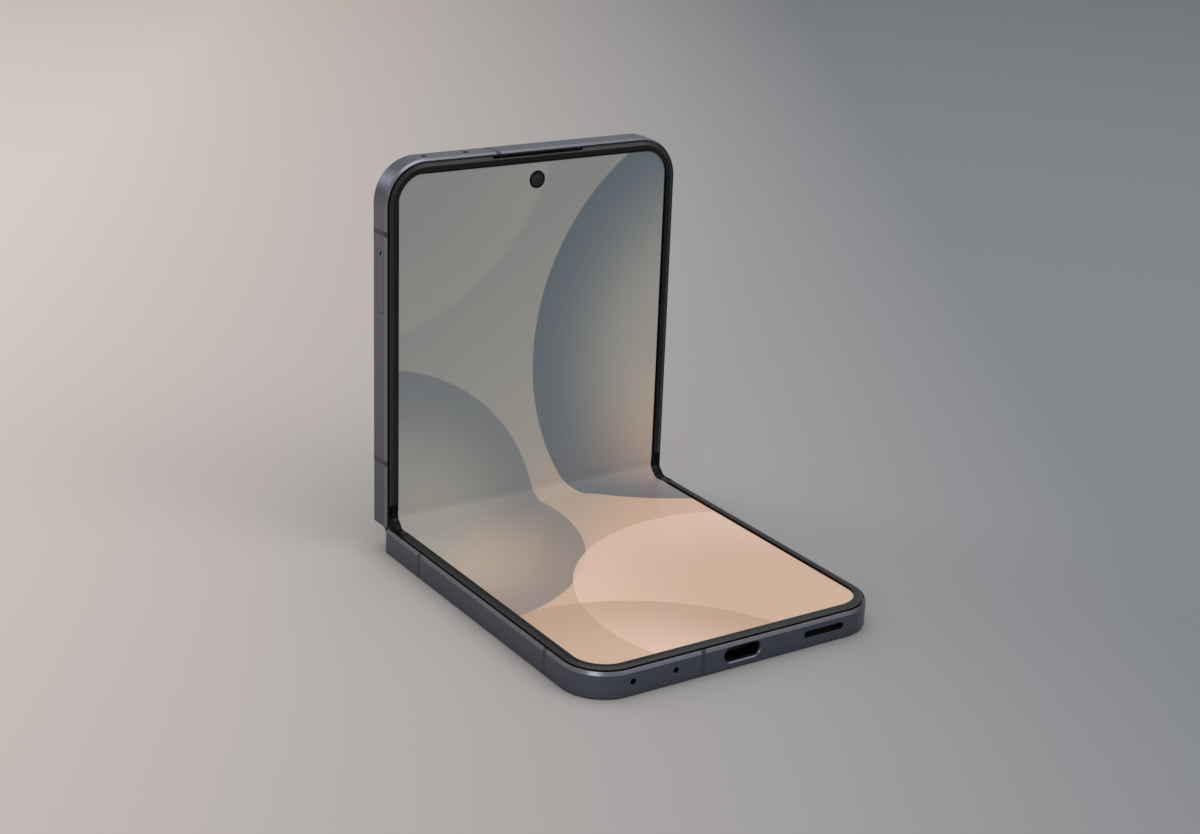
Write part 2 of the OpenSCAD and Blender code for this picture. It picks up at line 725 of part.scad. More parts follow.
// Blocks that hold the pins: a base along the spine's floor and an ear at each end
base_t = 0.2;
web_top = 0.25;
module hinge_blocks() {
    color("#5f6268") at_spine() for (m = [-1, 1]) translate([m * module_x, 0, 0]) difference() {
        union() {
            along_x(-module_half, module_half)
                translate([-axis_half, -bore_r]) square([2 * axis_half, base_t]);
            both_sides() along_x(module_half - ear_t, module_half) {
                polygon([[-axis_half - knuckle_r, 0], [-axis_half - knuckle_r, 0.1 - bore_r],
                    [-axis_half, -bore_r], [axis_half, -bore_r],
                    [axis_half + knuckle_r, 0.1 - bore_r], [axis_half + knuckle_r, 0]]);
                translate([-axis_half, -1]) square([2 * axis_half, 1 + web_top]);
                for (side = [-1, 1]) translate([side * axis_half, 0]) circle(r = knuckle_r);
            }
        }
        along_x(-module_half - 1, module_half + 1) for (side = [-1, 1]) {
            translate([side * axis_half, 0]) circle(r = pin_r);
            translate([side * idler_pitch, -idler_drop]) circle(r = pin_r);
        }
    }
}
pin_half = module_half + 0.2;
module hinge_pins() {
    color("#b9bbc0") at_spine() for (m = [-1, 1], side = [-1, 1])
        translate([m * module_x, 0, 0]) along_x(-pin_half, pin_half)
            translate([side * axis_half, 0]) circle(r = pin_r);
}

// Idler gears with their axles. The second is half a tooth round from the mirrored first
module idler(side, turn) for (m = [-1, 1])
    translate([m * module_x, side * idler_pitch, -idler_drop]) {
        along_x(-module_half, module_half) circle(r = pin_r - pin_play);
        along_x(-gear_half, gear_half) {
            circle(r = idler_pitch - tooth_down);
            for (k = [0 : idler_teeth - 1]) rotate(turn + k * idler_step) tooth(idler_pitch);
        }
    }
module idler_gear_a() {
    color("#c2a35c") at_spine() idler(-1, 180 + mesh_turn);
}
module idler_gear_b() {
    color("#c2a35c") at_spine() idler(1, -mesh_turn + idler_step / 2);
}

// The bending part of the screen, in the spine's coordinates
function smooth(t) = t * t * (3 - 2 * t);
function bend_point(u, h) =
    let (a = fold_turn * (smooth((u + bend_back) / (bend_back + axis_half)) - 1))
    [u * cos(a) - h * sin(a) - axis_half, u * sin(a) + h * cos(a)];
function bend_row(h) =
    [for (k = [0 : bend_steps]) bend_point((bend_back + axis_half) * k / bend_steps - bend_back, h)];
function mirrored(row) = [for (k = [len(row) - 2 : -1 : 0]) [-row[k][0], row[k][1]]];
function reversed(row) = [for (k = [len(row) - 1 : -1 : 0]) row[k]];
module fold_screen() {
    top = bend_row(strip_top);
    low = bend_row(strip_low);
    color("#a39c92") at_spine() along_x(panel_in - side_x, side_x - panel_in)
        polygon(concat(top, mirrored(top), reversed(concat(low, mirrored(low)))));
}

// Openings of the upper frame: microphone and earpiece holes, tray mouth, key slots, front camera
ear_in = half_l - rim_out - ear_slot_w;
ear_room = ear_slot_l / 2 - ear_slot_w;
ear_duct = 1.5;
upper_mic_z = port_z - 0.4;
module key_hole(y, l) translate([0, y, key_z]) along_x(wall_x - 2, side_x + 1)
    pill(l + 2 * key_gap, key_h + 2 * key_gap);
module upper_frame() {
    color("#4b4b55") at_upper() difference() {
        union() {
            frame_body();
            posts(upper_posts, board_top);
        }
        band_cuts(upper_band_ys);
        arm_slots(1);
        post_holes(upper_posts, board_top);
        arm_screw_places(1) cylinder(r = screw_r, h = arm_screw_top);
        for (x = mic_xs) translate([x, 0, upper_mic_z])
            along_y(inner_end - 1, half_l + 1) circle(d = mic_d);
        block(-ear_room, ear_room, ear_in, half_l - rim_out, deck_low - 1, half_t);
        block(-ear_room, ear_room, inner_end - ear_duct, half_l - rim_out, deck_low - 1, deck_low);
        post(0, front_y, 0, half_t, front_hole_d / 2 + 2 * fit);
        translate([0, tray_y, tray_z]) along_x(-side_x - 1, -wall_x + 1)
            pill(tray_l + 2 * key_gap, tray_h + 2 * key_gap);
        key_hole(volume_y, volume_l);
        key_hole(power_y, power_l);
    }
}

module upper_bands() {
    color("#3f3f49") at_upper() intersection() {
        swept(open_wall, bulkhead_end);
        band_cuts(upper_band_ys);
    }
}

module upper_rim() {
    color("#2b2b2c") at_upper() difference() {
        rim_body(upper_rim_start);
        slab(deck_top - 1, half_t + 1) polygon([[-ear_slot_l / 2, half_l],
            [-ear_slot_l / 2, half_l - rim_out], [ear_slot_w - ear_slot_l / 2, ear_in],
            [ear_slot_l / 2 - ear_slot_w, ear_in], [ear_slot_l / 2, half_l - rim_out],
            [ear_slot_l / 2, half_l]]);
    }
}

module upper_screen() {
    color("#8d8d89") at_upper() difference() {
        slab(panel_low, screen_top) panel_outline(bend_start);
        post(0, front_y, 0, half_t, front_hole_d / 2);
    }
}
module upper_screen_plate() {
    color("#8b8d90") at_upper() difference() {
        slab(deck_top, panel_low) panel_outline(bend_start);
        post(0, front_y, 0, half_t, front_hole_d / 2 + 2 * fit);
    }
}

module cover_glass() {
    color("#5a5b66") at_upper() difference() {
        slab(0, glass_t) glass_outline();
        for (x = camera_xs) post(x, camera_y, -1, 1, ring_d / 2 + fit);
    }
}
cover_start = 9.6;
cover_r = 5;
module cover_display() {
    color("#15161a") at_upper() slab(glass_t, upper_cell_z - 0.1)
        sheet(side_x - cover_side, cover_start, half_l - cover_in, cover_r, cover_r);
}

// Rear cameras: a stepped ring through the glass, a lens in it and a module behind
ring_step = 0.3;
ring_mouth = [0.25, 0.2];
lens_z = 0.25 - ring_proud;
module camera_rings() {
    color("#6c6d75") at_upper() for (x = camera_xs) difference() {
        union() {
            post(x, camera_y, ring_step - ring_proud, glass_t, ring_d / 2);
            post(x, camera_y, -ring_proud, glass_t, ring_d / 2 - ring_step);
        }
        post(x, camera_y, -ring_proud - 1, 1, ring_d / 2 - ring_w);
        post(x, camera_y, -ring_proud - 1, ring_mouth[1] - ring_proud,
            ring_d / 2 - ring_w + ring_mouth[0]);
    }
}
module camera_lenses() {
    color("#101218") at_upper() for (x = camera_xs)
        post(x, camera_y, lens_z, lens_z + lens_t, ring_d / 2 - ring_w);
}
module camera_modules() {
    color("#26282c") at_upper() for (x = camera_xs) {
        post(x, camera_y, lens_z + lens_t, glass_t + 0.1, ring_d / 2 - ring_w - 0.4);
        block(x - module_w / 2, x + module_w / 2, camera_y - module_w / 2, camera_y + module_w / 2,
            glass_t + 0.05, deck_low - 2 * fit);
    }
}
module flash_lens() {
    color("#e6dfb8") at_upper() post(flash_x, camera_y, glass_t, board_z, flash_d / 2);
}

// Front camera: its barrel reaches up through the deck into the hole in the panel, with a
// raised edge round the lens
front_r = front_hole_d / 2 - fit;
front_edge = [0.5, 0.07];
front_box = [2.6, 2.4, 1.9];
module front_camera() {
    color("#141414") at_upper() {
        difference() {
            post(0, front_y, board_top, screen_top - fit, front_r);
            post(0, front_y, screen_top - fit - front_edge[1], half_t, front_r - front_edge[0]);
        }
        block(-front_box[0], front_box[0], front_y - front_box[1], front_y + front_box[2],
            board_top, deck_low - 2 * fit);
    }
}

ear_back = 2.9;
ear_half = 7;
module earpiece() {
    color("#303238") at_upper() block(-ear_half, ear_half, inner_end - ear_back, inner_end,
        board_top, deck_low - 1 - fit);
}
ear_mesh_t = 0.3;
ear_mesh_hole = 0.12;
module earpiece_mesh() {
    cols = floor(ear_half / mesh_pitch);
    color("#0b0c10") at_upper() translate([0, 0, -ear_mesh_t / 2]) slab(deck_top, deck_top + ear_mesh_t)
        difference() {
            translate([fit - ear_room, ear_in + fit])
                square([2 * (ear_room - fit), ear_slot_w - 2 * fit]);
            for (i = [-cols : cols]) translate([i * mesh_pitch, ear_in + ear_slot_w / 2])
                circle(r = ear_mesh_hole, $fn = 16);
        }
}

// The main board, cut out round the rear cameras
main_board_side = 3.2;
cut_gap = 0.2;
module main_board() {
    color("#1f4a3a") at_upper() difference() {
        slab(board_z, board_top)
            sheet(side_x - main_board_side, main_board_start, inner_end - board_gap,
                corner_r - wall - board_gap, 1);
        for (x = camera_xs) block(x - module_w / 2 - cut_gap, x + module_w / 2 + cut_gap,
            camera_y - module_w / 2 - cut_gap, camera_y + module_w / 2 + cut_gap, 0, half_t);
        for (p = upper_posts) post(p[0], p[1], 0, half_t, screw_r);
    }
}

// Metal cans over the chips on the main board, each from x to x and from y to y
can_t = 1.6;
can_start = main_board_start + 1.5;
can_end = camera_y - module_w / 2 - 1.2;
can_gap = 1;
inner_can = [-9, 7];
outer_can = [14, post_x - 2.3];
cans = [[inner_can, [can_start, can_end - 8]], [inner_can, [can_end - 8 + can_gap, can_end]],
    [outer_can, [can_start, can_end - 10]], [outer_can, [can_end - 10 + can_gap, can_end]]];
module shield_cans() {
    color("#9c9ea3") at_upper() for (c = cans)
        block(c[0][0], c[0][1], c[1][0], c[1][1], board_top, board_top + can_t);
}

module upper_battery() {
    color("#2e3034") at_upper() cell(cell_start, upper_cell_end, upper_cell_z);
}
module upper_microphones() {
    color("#b8a46a") at_upper() mic_cans(board_top);
}
module upper_screws() {
    color("#6d6f73") at_upper() {
        for (p = upper_posts) translate([p[0], p[1], 0]) screw(board_z, deck_low);
        arm_screw_places(1) screw(axis_z - arm_drop - arm_t, arm_screw_top);
    }
}
module upper_hinge_arms() {
    color("#777a80") at_upper() hinge_arms(1, -2 * arm_step, 4);
}
module upper_flex() {
    color("#7a4a1e") at_upper() flex(flex_x, upper_cell_end + 1.1, board_top, upper_cell_end + 0.2);
}

// The card tray: a face flush with the side, and a carrier with a card window that slides in
tray_x = -side_x;
tray_end = tray_x + tray_depth;
window = [11.6, 8.8];
window_edge = 1.2;
module card_tray() {
    color("#4b4b55") at_upper() difference() {
        union() {
            translate([0, tray_y, tray_z]) along_x(tray_x, tray_x + tray_face_t)
                pill(tray_l, tray_h);
            block(tray_x + tray_face_t - 0.1, tray_end, tray_y - carrier_w / 2,
                tray_y + carrier_w / 2, tray_z - tray_t / 2, tray_z + tray_t / 2);
        }
        block(tray_end - window_edge - window[0], tray_end - window_edge,
            tray_y - window[1] / 2, tray_y + window[1] / 2, 0, half_t);
        translate([0, eject_y, tray_z]) along_x(tray_x - 1, tray_end) circle(d = eject_d);
    }
}
seal_t = 0.6;
seal_w = 0.3;
module tray_seal() {
    color("#1c1c20") at_upper() translate([0, tray_y, tray_z])
        along_x(tray_x + tray_face_t, tray_x + tray_face_t + seal_t) difference() {
            square([carrier_w + 2 * seal_w, tray_t + 2 * seal_w], center = true);
            square([carrier_w, tray_t], center = true);
            translate([eject_y - tray_y, 0]) circle(d = eject_d);
        }
}

// The reader on the board: a flat metal box round the carrier, open towards the side
module tray_reader() {
    reader_x = tray_x + tray_face_t + seal_t + 2 * reader_gap;
    half_in = carrier_w / 2 + reader_gap;
    low_in = tray_z - tray_t / 2 - reader_gap;
    top_in = tray_z + tray_t / 2 + reader_gap;
    color("#a4a6ab") at_upper() difference() {
        block(reader_x, tray_end + reader_gap + reader_wall, tray_y - half_in - reader_wall,
            tray_y + half_in + reader_wall, board_top, top_in + reader_wall);
        block(tray_x, tray_end + reader_gap, tray_y - half_in, tray_y + half_in, low_in, top_in);
    }
}

// Keys: a pill that stands proud of the side, on a wider flange behind the wall.
// The volume key rocks, so its flange is short and lies under its middle
module key_body(y, l, flange_l) translate([0, y, key_z]) {
    along_x(wall_x - key_travel - key_flange_t, side_x + key_proud) pill(l, key_h);
    along_x(wall_x - key_gap - key_flange_t, wall_x - key_gap)
        pill(flange_l, key_h + 2 * key_flange);
}
module volume_key() {
    color("#4b4b55") at_upper() key_body(volume_y, volume_l, volume_l / 3);
}
module side_key() {
    color("#4b4b55") at_upper() key_body(power_y, power_l, power_l + 2 * key_flange);
}

// Dome switches on a strip behind the keys, one under the side key and two under the volume key
dome_gap = 0.05;
dome_t = 0.5;
dome_r = 0.9;
strip_t = 0.3;
switch_x = wall_x - 2 * key_travel - key_flange_t - dome_gap;
module key_switches() {
    color("#c8b878") at_upper() {
        block(switch_x - dome_t - strip_t, switch_x - dome_t, power_y - power_l / 2,
            volume_y + volume_l / 2, board_top, key_z + key_h / 2);
        for (y = [power_y, volume_y - volume_l / 3, volume_y + volume_l / 3])
            translate([0, y, key_z]) along_x(switch_x - dome_t, switch_x) circle(r = dome_r);
    }
}

lower_frame();
lower_bands();
lower_rim();
lower_screen();
lower_screen_plate();
lower_back_glass();
lower_battery();
charging_coil();
port_board();
charging_socket();
loudspeaker();
speaker_mesh();
vibration_motor();
lower_microphones();
lower_screws();
lower_hinge_arms();
lower_flex();
spine_cover();
spine_end_caps();
hinge_blocks();
hinge_pins();
idler_gear_a();
idler_gear_b();
fold_screen();
upper_frame();
upper_bands();
upper_rim();
upper_screen();
upper_screen_plate();
cover_glass();
cover_display();
camera_rings();
camera_lenses();
camera_modules();
flash_lens();
front_camera();
earpiece();
earpiece_mesh();
main_board();
shield_cans();
upper_battery();
upper_microphones();
upper_screws();
upper_hinge_arms();
upper_flex();
card_tray();
tray_seal();
tray_reader();
volume_key();
side_key();
key_switches();
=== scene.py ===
"""Looks of a foldable clamshell phone: finishes, folding screen, camera glass and studio stage.

Lengths in the settings are real ones. Everything is built in metres, where the solids are.
"""

import json
import math

import bmesh
import bpy
from mathutils import Matrix, Vector


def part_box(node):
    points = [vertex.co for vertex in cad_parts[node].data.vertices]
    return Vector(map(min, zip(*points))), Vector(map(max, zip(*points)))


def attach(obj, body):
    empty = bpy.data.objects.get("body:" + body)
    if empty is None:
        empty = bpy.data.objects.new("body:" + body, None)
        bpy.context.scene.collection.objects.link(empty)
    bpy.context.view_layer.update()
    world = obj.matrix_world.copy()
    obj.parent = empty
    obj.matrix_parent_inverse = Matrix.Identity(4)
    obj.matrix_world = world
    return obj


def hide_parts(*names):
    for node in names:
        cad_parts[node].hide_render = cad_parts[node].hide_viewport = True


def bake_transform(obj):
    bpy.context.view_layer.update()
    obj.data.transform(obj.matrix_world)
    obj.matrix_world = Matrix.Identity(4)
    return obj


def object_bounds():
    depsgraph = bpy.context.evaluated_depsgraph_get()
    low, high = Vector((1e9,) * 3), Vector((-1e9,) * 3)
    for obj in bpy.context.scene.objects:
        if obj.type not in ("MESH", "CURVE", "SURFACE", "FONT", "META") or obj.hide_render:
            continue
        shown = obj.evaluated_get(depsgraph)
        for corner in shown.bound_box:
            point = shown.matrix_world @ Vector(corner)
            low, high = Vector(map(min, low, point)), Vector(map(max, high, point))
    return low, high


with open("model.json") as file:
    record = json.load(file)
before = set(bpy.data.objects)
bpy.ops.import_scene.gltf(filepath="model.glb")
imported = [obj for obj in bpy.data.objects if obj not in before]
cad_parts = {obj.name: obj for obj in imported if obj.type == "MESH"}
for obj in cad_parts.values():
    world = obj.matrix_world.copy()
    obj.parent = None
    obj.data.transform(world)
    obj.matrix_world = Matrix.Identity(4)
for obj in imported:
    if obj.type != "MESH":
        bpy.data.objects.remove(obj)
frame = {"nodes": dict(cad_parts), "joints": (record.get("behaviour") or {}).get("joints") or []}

CAD_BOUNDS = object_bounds()
MM = 0.001

bl_info = {
    "name": "Foldable Phone",
    "version": (1, 0, 0),
    "blender": (4, 5, 0),
    "location": "3D View > Sidebar > Phone",
    "description": "Dresses the solids of a foldable phone and sets up a studio round it",
    "category": "Object",
}

# Places that the solids give
JOINTS = {joint["name"]: joint for joint in frame["joints"]}
LOWER_AXIS = Vector(JOINTS["spine_turn"]["pos_m"])
UPPER_AXIS = Vector(JOINTS["upper_fold"]["pos_m"])
FOLD_TURN = math.radians(JOINTS["spine_turn"]["range_deg"][1])
AXIS_HALF = (UPPER_AXIS - LOWER_AXIS).length / 2
SPINE_PLACE = (
    Matrix.Translation(LOWER_AXIS)
    @ Matrix.Rotation(FOLD_TURN, 4, "X")
    @ Matrix.Translation((0, AXIS_HALF, 0))
)
UPPER_TO_FLAT = (
    Matrix.Translation(LOWER_AXIS + Vector((0, 2 * AXIS_HALF, 0)))
    @ Matrix.Rotation(-2 * FOLD_TURN, 4, "X")
    @ Matrix.Translation(-UPPER_AXIS)
)
MIDDLE_Y = LOWER_AXIS.y + AXIS_HALF
UPPER_UP = UPPER_TO_FLAT.inverted().to_3x3() @ Vector((0, 0, 1))
PANEL_LOW, PANEL_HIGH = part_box("lower_screen")
# The rim's inside, at its sides near the fold and at its far end
RIM_LOW, RIM_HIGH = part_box("lower_rim")
RIM_INSIDE = min(
    abs(v.co.x) for v in frame["nodes"]["lower_rim"].data.vertices if v.co.y > RIM_HIGH.y - MM
)
RIM_END = RIM_LOW.y + RIM_HIGH.x - RIM_INSIDE
# The inside of the frame's top where the rim has ended, and the gap from the frame to the fold
FRAME_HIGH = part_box("lower_frame")[1]
FRAME_INSIDE = min(
    abs(v.co.x)
    for v in frame["nodes"]["lower_frame"].data.vertices
    if v.co.y > RIM_HIGH.y and v.co.z > FRAME_HIGH.z - 0.02 * MM
)
END_GAP = MIDDLE_Y - FRAME_HIGH.y

# Width and height in mm of slanted facets: the frame's chamfer, the rim's bevel, and the rounded
# edge round the back, which faces down and is found by its middle
CHAMFER = (0.35, 0.76)
BEVEL = (0.75, 0.35)
BACK_EDGE = (-1, 1)
# How much of the metal's colour the back edge keeps; the darkening is painted shade
BACK_SHADE = 0.4
# Microphone holes and the cans behind them, in mm: a can's top is this far over its hole's middle
HOLE_RADIUS = 0.675
CAN_WIDTH = 3.4
CAN_OVER_HOLE = 1.375

# Grain: the values that noise mostly has, the size in mm of broad changes of colour, how far
# roughness changes with the grain, and how much of the grain's height is used
NOISE_SPAN = (0.3, 0.7)
BROAD_MM = 14.0
ROUGH_SPREAD = 0.05
RELIEF_STRENGTH = 0.5

# The screen's light as a share of its picture, and how soft the lit area's edge is in mm
GLOW = 0.5
LIT_SOFT = 0.05
# The wallpaper in mm: half its length, how much of its length it shifts in a mm across, and how
# soft the edges of its discs are
PICTURE_HALF = 84.0
PICTURE_LEAN = -0.004
DISC_SOFT = 0.15
# Each disc's centre across and along in mm, its radius and the width of its coloured edge in mm,
# colour and strength
DISCS = (
    (-46, 96, 52, 24, "stone", 0.35),
    (56, 34, 56, 32, "slate", 0.8),
    (-44, -8, 46, 26, "slate", 0.55),
    (20, -66, 42, 30, "blush", 0.85),
    (-32, -98, 46, 26, "clay", 0.45),
)
# The bend's bulge: its second and third degree parts as shares of the bend's reach
BULGE = (-0.095, 0.154)
# Gap that keeps new pieces from touching the solids beside them
CLEAR = 0.02 * MM

# The camera that was fitted to the photograph: place, directions of its right, up and back, lens
# in mm, and its right along the floor
VIEW_PLACE = (-0.23294, -0.327772, 0.186798)
VIEW_AXES = (
    (0.83441414, -0.54933031, 0.04460097),
    (0.1540051, 0.3100982, 0.93814793),
    (-0.52918378, -0.77593512, 0.34334999),
)
VIEW_LENS = 60.506
VIEW_RIGHT = (0.836, -0.548, 0)

# The stage: the floor's radius and its drop below the phone in metres, where the lamps aim, their
# tint, and the light of the studio round it. Up to the horizon's top, as the height of a
# direction, the floor's colours take over from it, at a share of their strength
FLOOR_RADIUS = 6.0
FLOOR_DROP = 0.02 * MM
LAMP_AIM = Vector((0.0, 0.02, 0.03))
LAMP_TINT = (1.0, 0.975, 0.945)
STUDIO_LIGHT = (0.56, 0.565, 0.58, 1)
HORIZON_SHARE = 0.6
HORIZON_TOP = 0.3
# Where the floor and the horizon change from warm to cool, towards the photograph's right
FLOOR_CHANGE = (-0.22, 0.12)
HORIZON_CHANGE = (-0.1, 0.1)
# Name, place in metres, side in metres and power in watts of each lamp
LAMPS = (
    ("overhead_softbox", (0.1, 0.1, 1.05), 1.1, 5.0),
    ("front_softbox", (0.55, -0.75, 0.75), 0.6, 2.4),
    ("corner_softbox", (-0.75, -0.62, 0.32), 0.4, 1.2),
    ("back_softbox", (-0.55, 0.8, 0.56), 0.4, 1.6),
)


def linear(code):
    """Turns an sRGB hex colour into linear red, green and blue."""
    levels = [int(code[i : i + 2], 16) / 255 for i in (1, 3, 5)]
    return tuple(v / 12.92 if v <= 0.04045 else ((v + 0.055) / 1.055) ** 2.4 for v in levels)


def colour(code, name, description):
    """A colour setting with an sRGB hex default."""
    return bpy.props.FloatVectorProperty(
        name=name, description=description, subtype="COLOR", default=linear(code), min=0, max=1
    )


def length(mm, name, description):
    """A length setting in metres with a default in millimetres."""
    return bpy.props.FloatProperty(
        name=name, description=description, default=mm * MM, min=0, unit="LENGTH", precision=5
    )


class PhoneSizes(bpy.types.PropertyGroup):
    """Sizes of what is added to the solids."""

    border: length(0.43, "Screen border", "Black border between the rim and the lit screen")
    lit_corner: length(5.6, "Lit corner", "Corner radius of the lit screen")
    crease: length(0.14, "Crease", "Depth of the crease along the open screen's fold")
    edge: length(0.12, "Edge rounding", "Rounding that catches light along metal edges")
    contact_pitch: length(0.5, "Contact pitch", "Distance between the contacts on the tongue")
    contact_length: length(2.6, "Contact length", "Length of the contacts on the tongue")
    strip_steps: bpy.props.IntProperty(
        name="Strip steps", description="Rows across half of the bend", default=40, min=8, max=120
    )


class PhoneColours(bpy.types.PropertyGroup):
    """Colours of the finishes."""

    metal: colour("#616674", "Metal", "Anodised frame")
    cut: colour("#808189", "Cut edge", "Chamfer cut into the frame beside the screen")
    band: colour("#31323C", "Bands", "Plastic bands across the frame")
    rim: colour("#0F0F0E", "Rim", "Raised rim round the screen")
    # The bevel's lighter colour is a painted highlight
    rim_bevel_highlight: colour("#252526", "Rim's bevel", "Bevel along the outside of the rim")
    # The border's black is also laid in the upper frame's microphone holes as painted shade
    border: colour("#050506", "Border", "Black border of the screen")
    glass_back: colour("#4E4F5A", "Back glass", "Frosted glass of the lower half")
    cover: colour("#17181C", "Cover glass", "Polished glass of the upper half")
    spine: colour("#74757F", "Spine", "Polished cover of the hinge")
    sage: colour("#8C8E8C", "Sage", "Wallpaper at the far end of the upper half")
    stone: colour("#A09D95", "Stone", "Wallpaper in the middle of the upper half")
    peach: colour("#CBAD98", "Peach", "Wallpaper on the lower half")
    slate: colour("#55636F", "Slate", "Dark discs of the wallpaper")
    blush: colour("#DEC0AE", "Blush", "Pale discs of the wallpaper")
    clay: colour("#A98A74", "Clay", "Warm dark disc of the wallpaper")
    floor_warm: colour("#D3C8C1", "Warm floor", "Floor on the left")
    floor_cool: colour("#7F8388", "Cool floor", "Floor on the right")


def sizes():
    return bpy.context.scene.phone_sizes


def colours():
    return bpy.context.scene.phone_colours


# Materials


def add(tree, kind, inputs=None, **settings):
    """Adds a node with its settings. Inputs are values or sockets, by name or number."""
    made = tree.nodes.new(kind)
    for name, value in settings.items():
        setattr(made, name, value)
    for name, value in (inputs or {}).items():
        if isinstance(value, bpy.types.NodeSocket):
            tree.links.new(value, made.inputs[name])
        else:
            made.inputs[name].default_value = value
    return made


def rgba(value, scale=1.0):
    """A linear colour with alpha, made lighter or darker by a scale."""
    return tuple(min(1.0, v * scale) for v in value[:3]) + (1.0,)


def start_material(name):
    """A new material, its nodes and shader, and the place on the piece at rest in metres."""
    material = bpy.data.materials.new(name)
    material.use_nodes = True
    tree = material.node_tree
    tree.nodes.clear()
    shader = add(tree, "ShaderNodeBsdfPrincipled")
    add(tree, "ShaderNodeOutputMaterial", {"Surface": shader.outputs[0]})
    place = add(tree, "ShaderNodeTexCoord").outputs["Object"]
    return material, tree, shader, place


def grain(tree, place, size_mm, stretch=(1, 1, 1), detail=2.0):
    """Noise whose grains have a real size, stretched along an axis for a brushed look."""
    in_mm = [share / MM for share in stretch]
    spread = add(tree, "ShaderNodeMapping", {"Vector": place, "Scale": in_mm}).outputs[0]
    return add(
        tree, "ShaderNodeTexNoise", {"Vector": spread, "Scale": 1 / size_mm, "Detail": detail}
    ).outputs["Fac"]


def spread_over(tree, factor, low, high):
    """Maps noise to a range of values."""
    least, most = NOISE_SPAN
    return add(
        tree,
        "ShaderNodeMapRange",
        {"Value": factor, "From Min": least, "From Max": most, "To Min": low, "To Max": high},
    ).outputs[0]


def surface(
    name, base, rough, size_mm, depth, bump_mm, stretch=(1, 1, 1), round_edges=True, **sockets
):
    """A finish with grain in its roughness and height, and a colour that varies by a depth.

    Blasting, etching and moulding leave grains of 0.02 to 0.05 mm, which no view shows, so the
    grains here are drawn a few times coarser than the real ones. Further sockets go by name.
    """
    material, tree, shader, place = start_material(name)
    fine = grain(tree, place, size_mm, stretch)
    broad = grain(tree, place, BROAD_MM)
    darker, lighter = rgba(base, 1 - depth), rgba(base, 1 + depth)
    varied = add(tree, "ShaderNodeMix", {0: broad, 6: darker, 7: lighter}, data_type="RGBA")
    tree.links.new(varied.outputs[2], shader.inputs["Base Color"])
    roughness = spread_over(tree, fine, rough - ROUGH_SPREAD, rough + ROUGH_SPREAD)
    tree.links.new(roughness, shader.inputs["Roughness"])
    relief = {"Height": fine, "Distance": bump_mm * MM, "Strength": RELIEF_STRENGTH}
    if round_edges:
        edge = add(tree, "ShaderNodeBevel", {"Radius": sizes().edge}, samples=4)
        relief["Normal"] = edge.outputs[0]
    tree.links.new(add(tree, "ShaderNodeBump", relief).outputs[0], shader.inputs["Normal"])
    for socket, value in sockets.items():
        shader.inputs[socket.replace("_", " ")].default_value = value
    return material


def inside_edge(tree, away, edge, soft, most=1.0):
    """A share that is full inside a round edge and nothing outside it, with a soft change."""
    return add(
        tree,
        "ShaderNodeMapRange",
        {"Value": away, "From Min": edge + soft, "From Max": edge - soft, "To Max": most},
    ).outputs[0]


def opened(material):
    """A finished material's nodes and its shader, to add to it."""
    tree = material.node_tree
    return tree, next(node for node in tree.nodes if node.type == "BSDF_PRINCIPLED")


def paint_over(tree, shader, share, tint):
    """Lays a colour over the shader's own by a share."""
    under = shader.inputs["Base Color"].links[0].from_socket
    both = add(tree, "ShaderNodeMix", {0: share, 6: under, 7: tint}, data_type="RGBA")
    tree.links.new(both.outputs[2], shader.inputs["Base Color"])


def facet(material, up, size_mm, tint, rough, reach=0.05):
    """Gives the slanted facet of a section a colour of its own and an even roughness. On the
    rim's bevel that colour is a painted highlight, and on the back edge it is painted shade.

    The facet is found by its width and height in mm, from its slant against up.
    """
    tree, shader = opened(material)
    facing = add(tree, "ShaderNodeTexCoord").outputs["Normal"]
    rise = add(
        tree, "ShaderNodeVectorMath", {0: facing, 1: up}, operation="DOT_PRODUCT"
    ).outputs["Value"]
    slant = size_mm[0] / math.hypot(*size_mm)
    found = add(
        tree, "ShaderNodeMath", {0: rise, 1: slant, 2: reach}, operation="COMPARE"
    ).outputs[0]
    paint_over(tree, shader, found, rgba(tint))
    grained = shader.inputs["Roughness"].links[0].from_socket
    evened = add(tree, "ShaderNodeMix", {0: found, 2: grained, 3: rough}).outputs[0]
    tree.links.new(evened, shader.inputs["Roughness"])


def unfolded(tree, place, to_flat, keep):
    """The place in mm from the fold on the phone laid flat open, along the axes that are kept."""
    shift = to_flat.to_translation() - Vector((0, MIDDLE_Y, 0))
    flat = add(
        tree,
        "ShaderNodeMapping",
        {
            "Vector": place,
            "Scale": [1 / MM] * 3,
            "Rotation": to_flat.to_euler(),
            "Location": [v / MM for v in shift],
        },
    ).outputs[0]
    kept = add(tree, "ShaderNodeVectorMath", {0: flat, 1: keep}, operation="MULTIPLY")
    return kept.outputs[0]


def dress(material, *names):
    """Gives CAD nodes or new pieces their finish."""
    for name in names:
        piece = bpy.data.objects.get(name)
        if piece is None:
            raise RuntimeError(f"there is no piece named {name}")
        piece.data.materials.clear()
        piece.data.materials.append(material)


# Meshes


def new_piece(name, mesh, body, material):
    """Links a mesh as a piece with its finish and lets it ride on a body, if one is given."""
    mesh.update()
    piece = bpy.data.objects.new(name, mesh)
    bpy.context.scene.collection.objects.link(piece)
    mesh.materials.append(material)
    if body:
        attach(piece, body)
    return piece


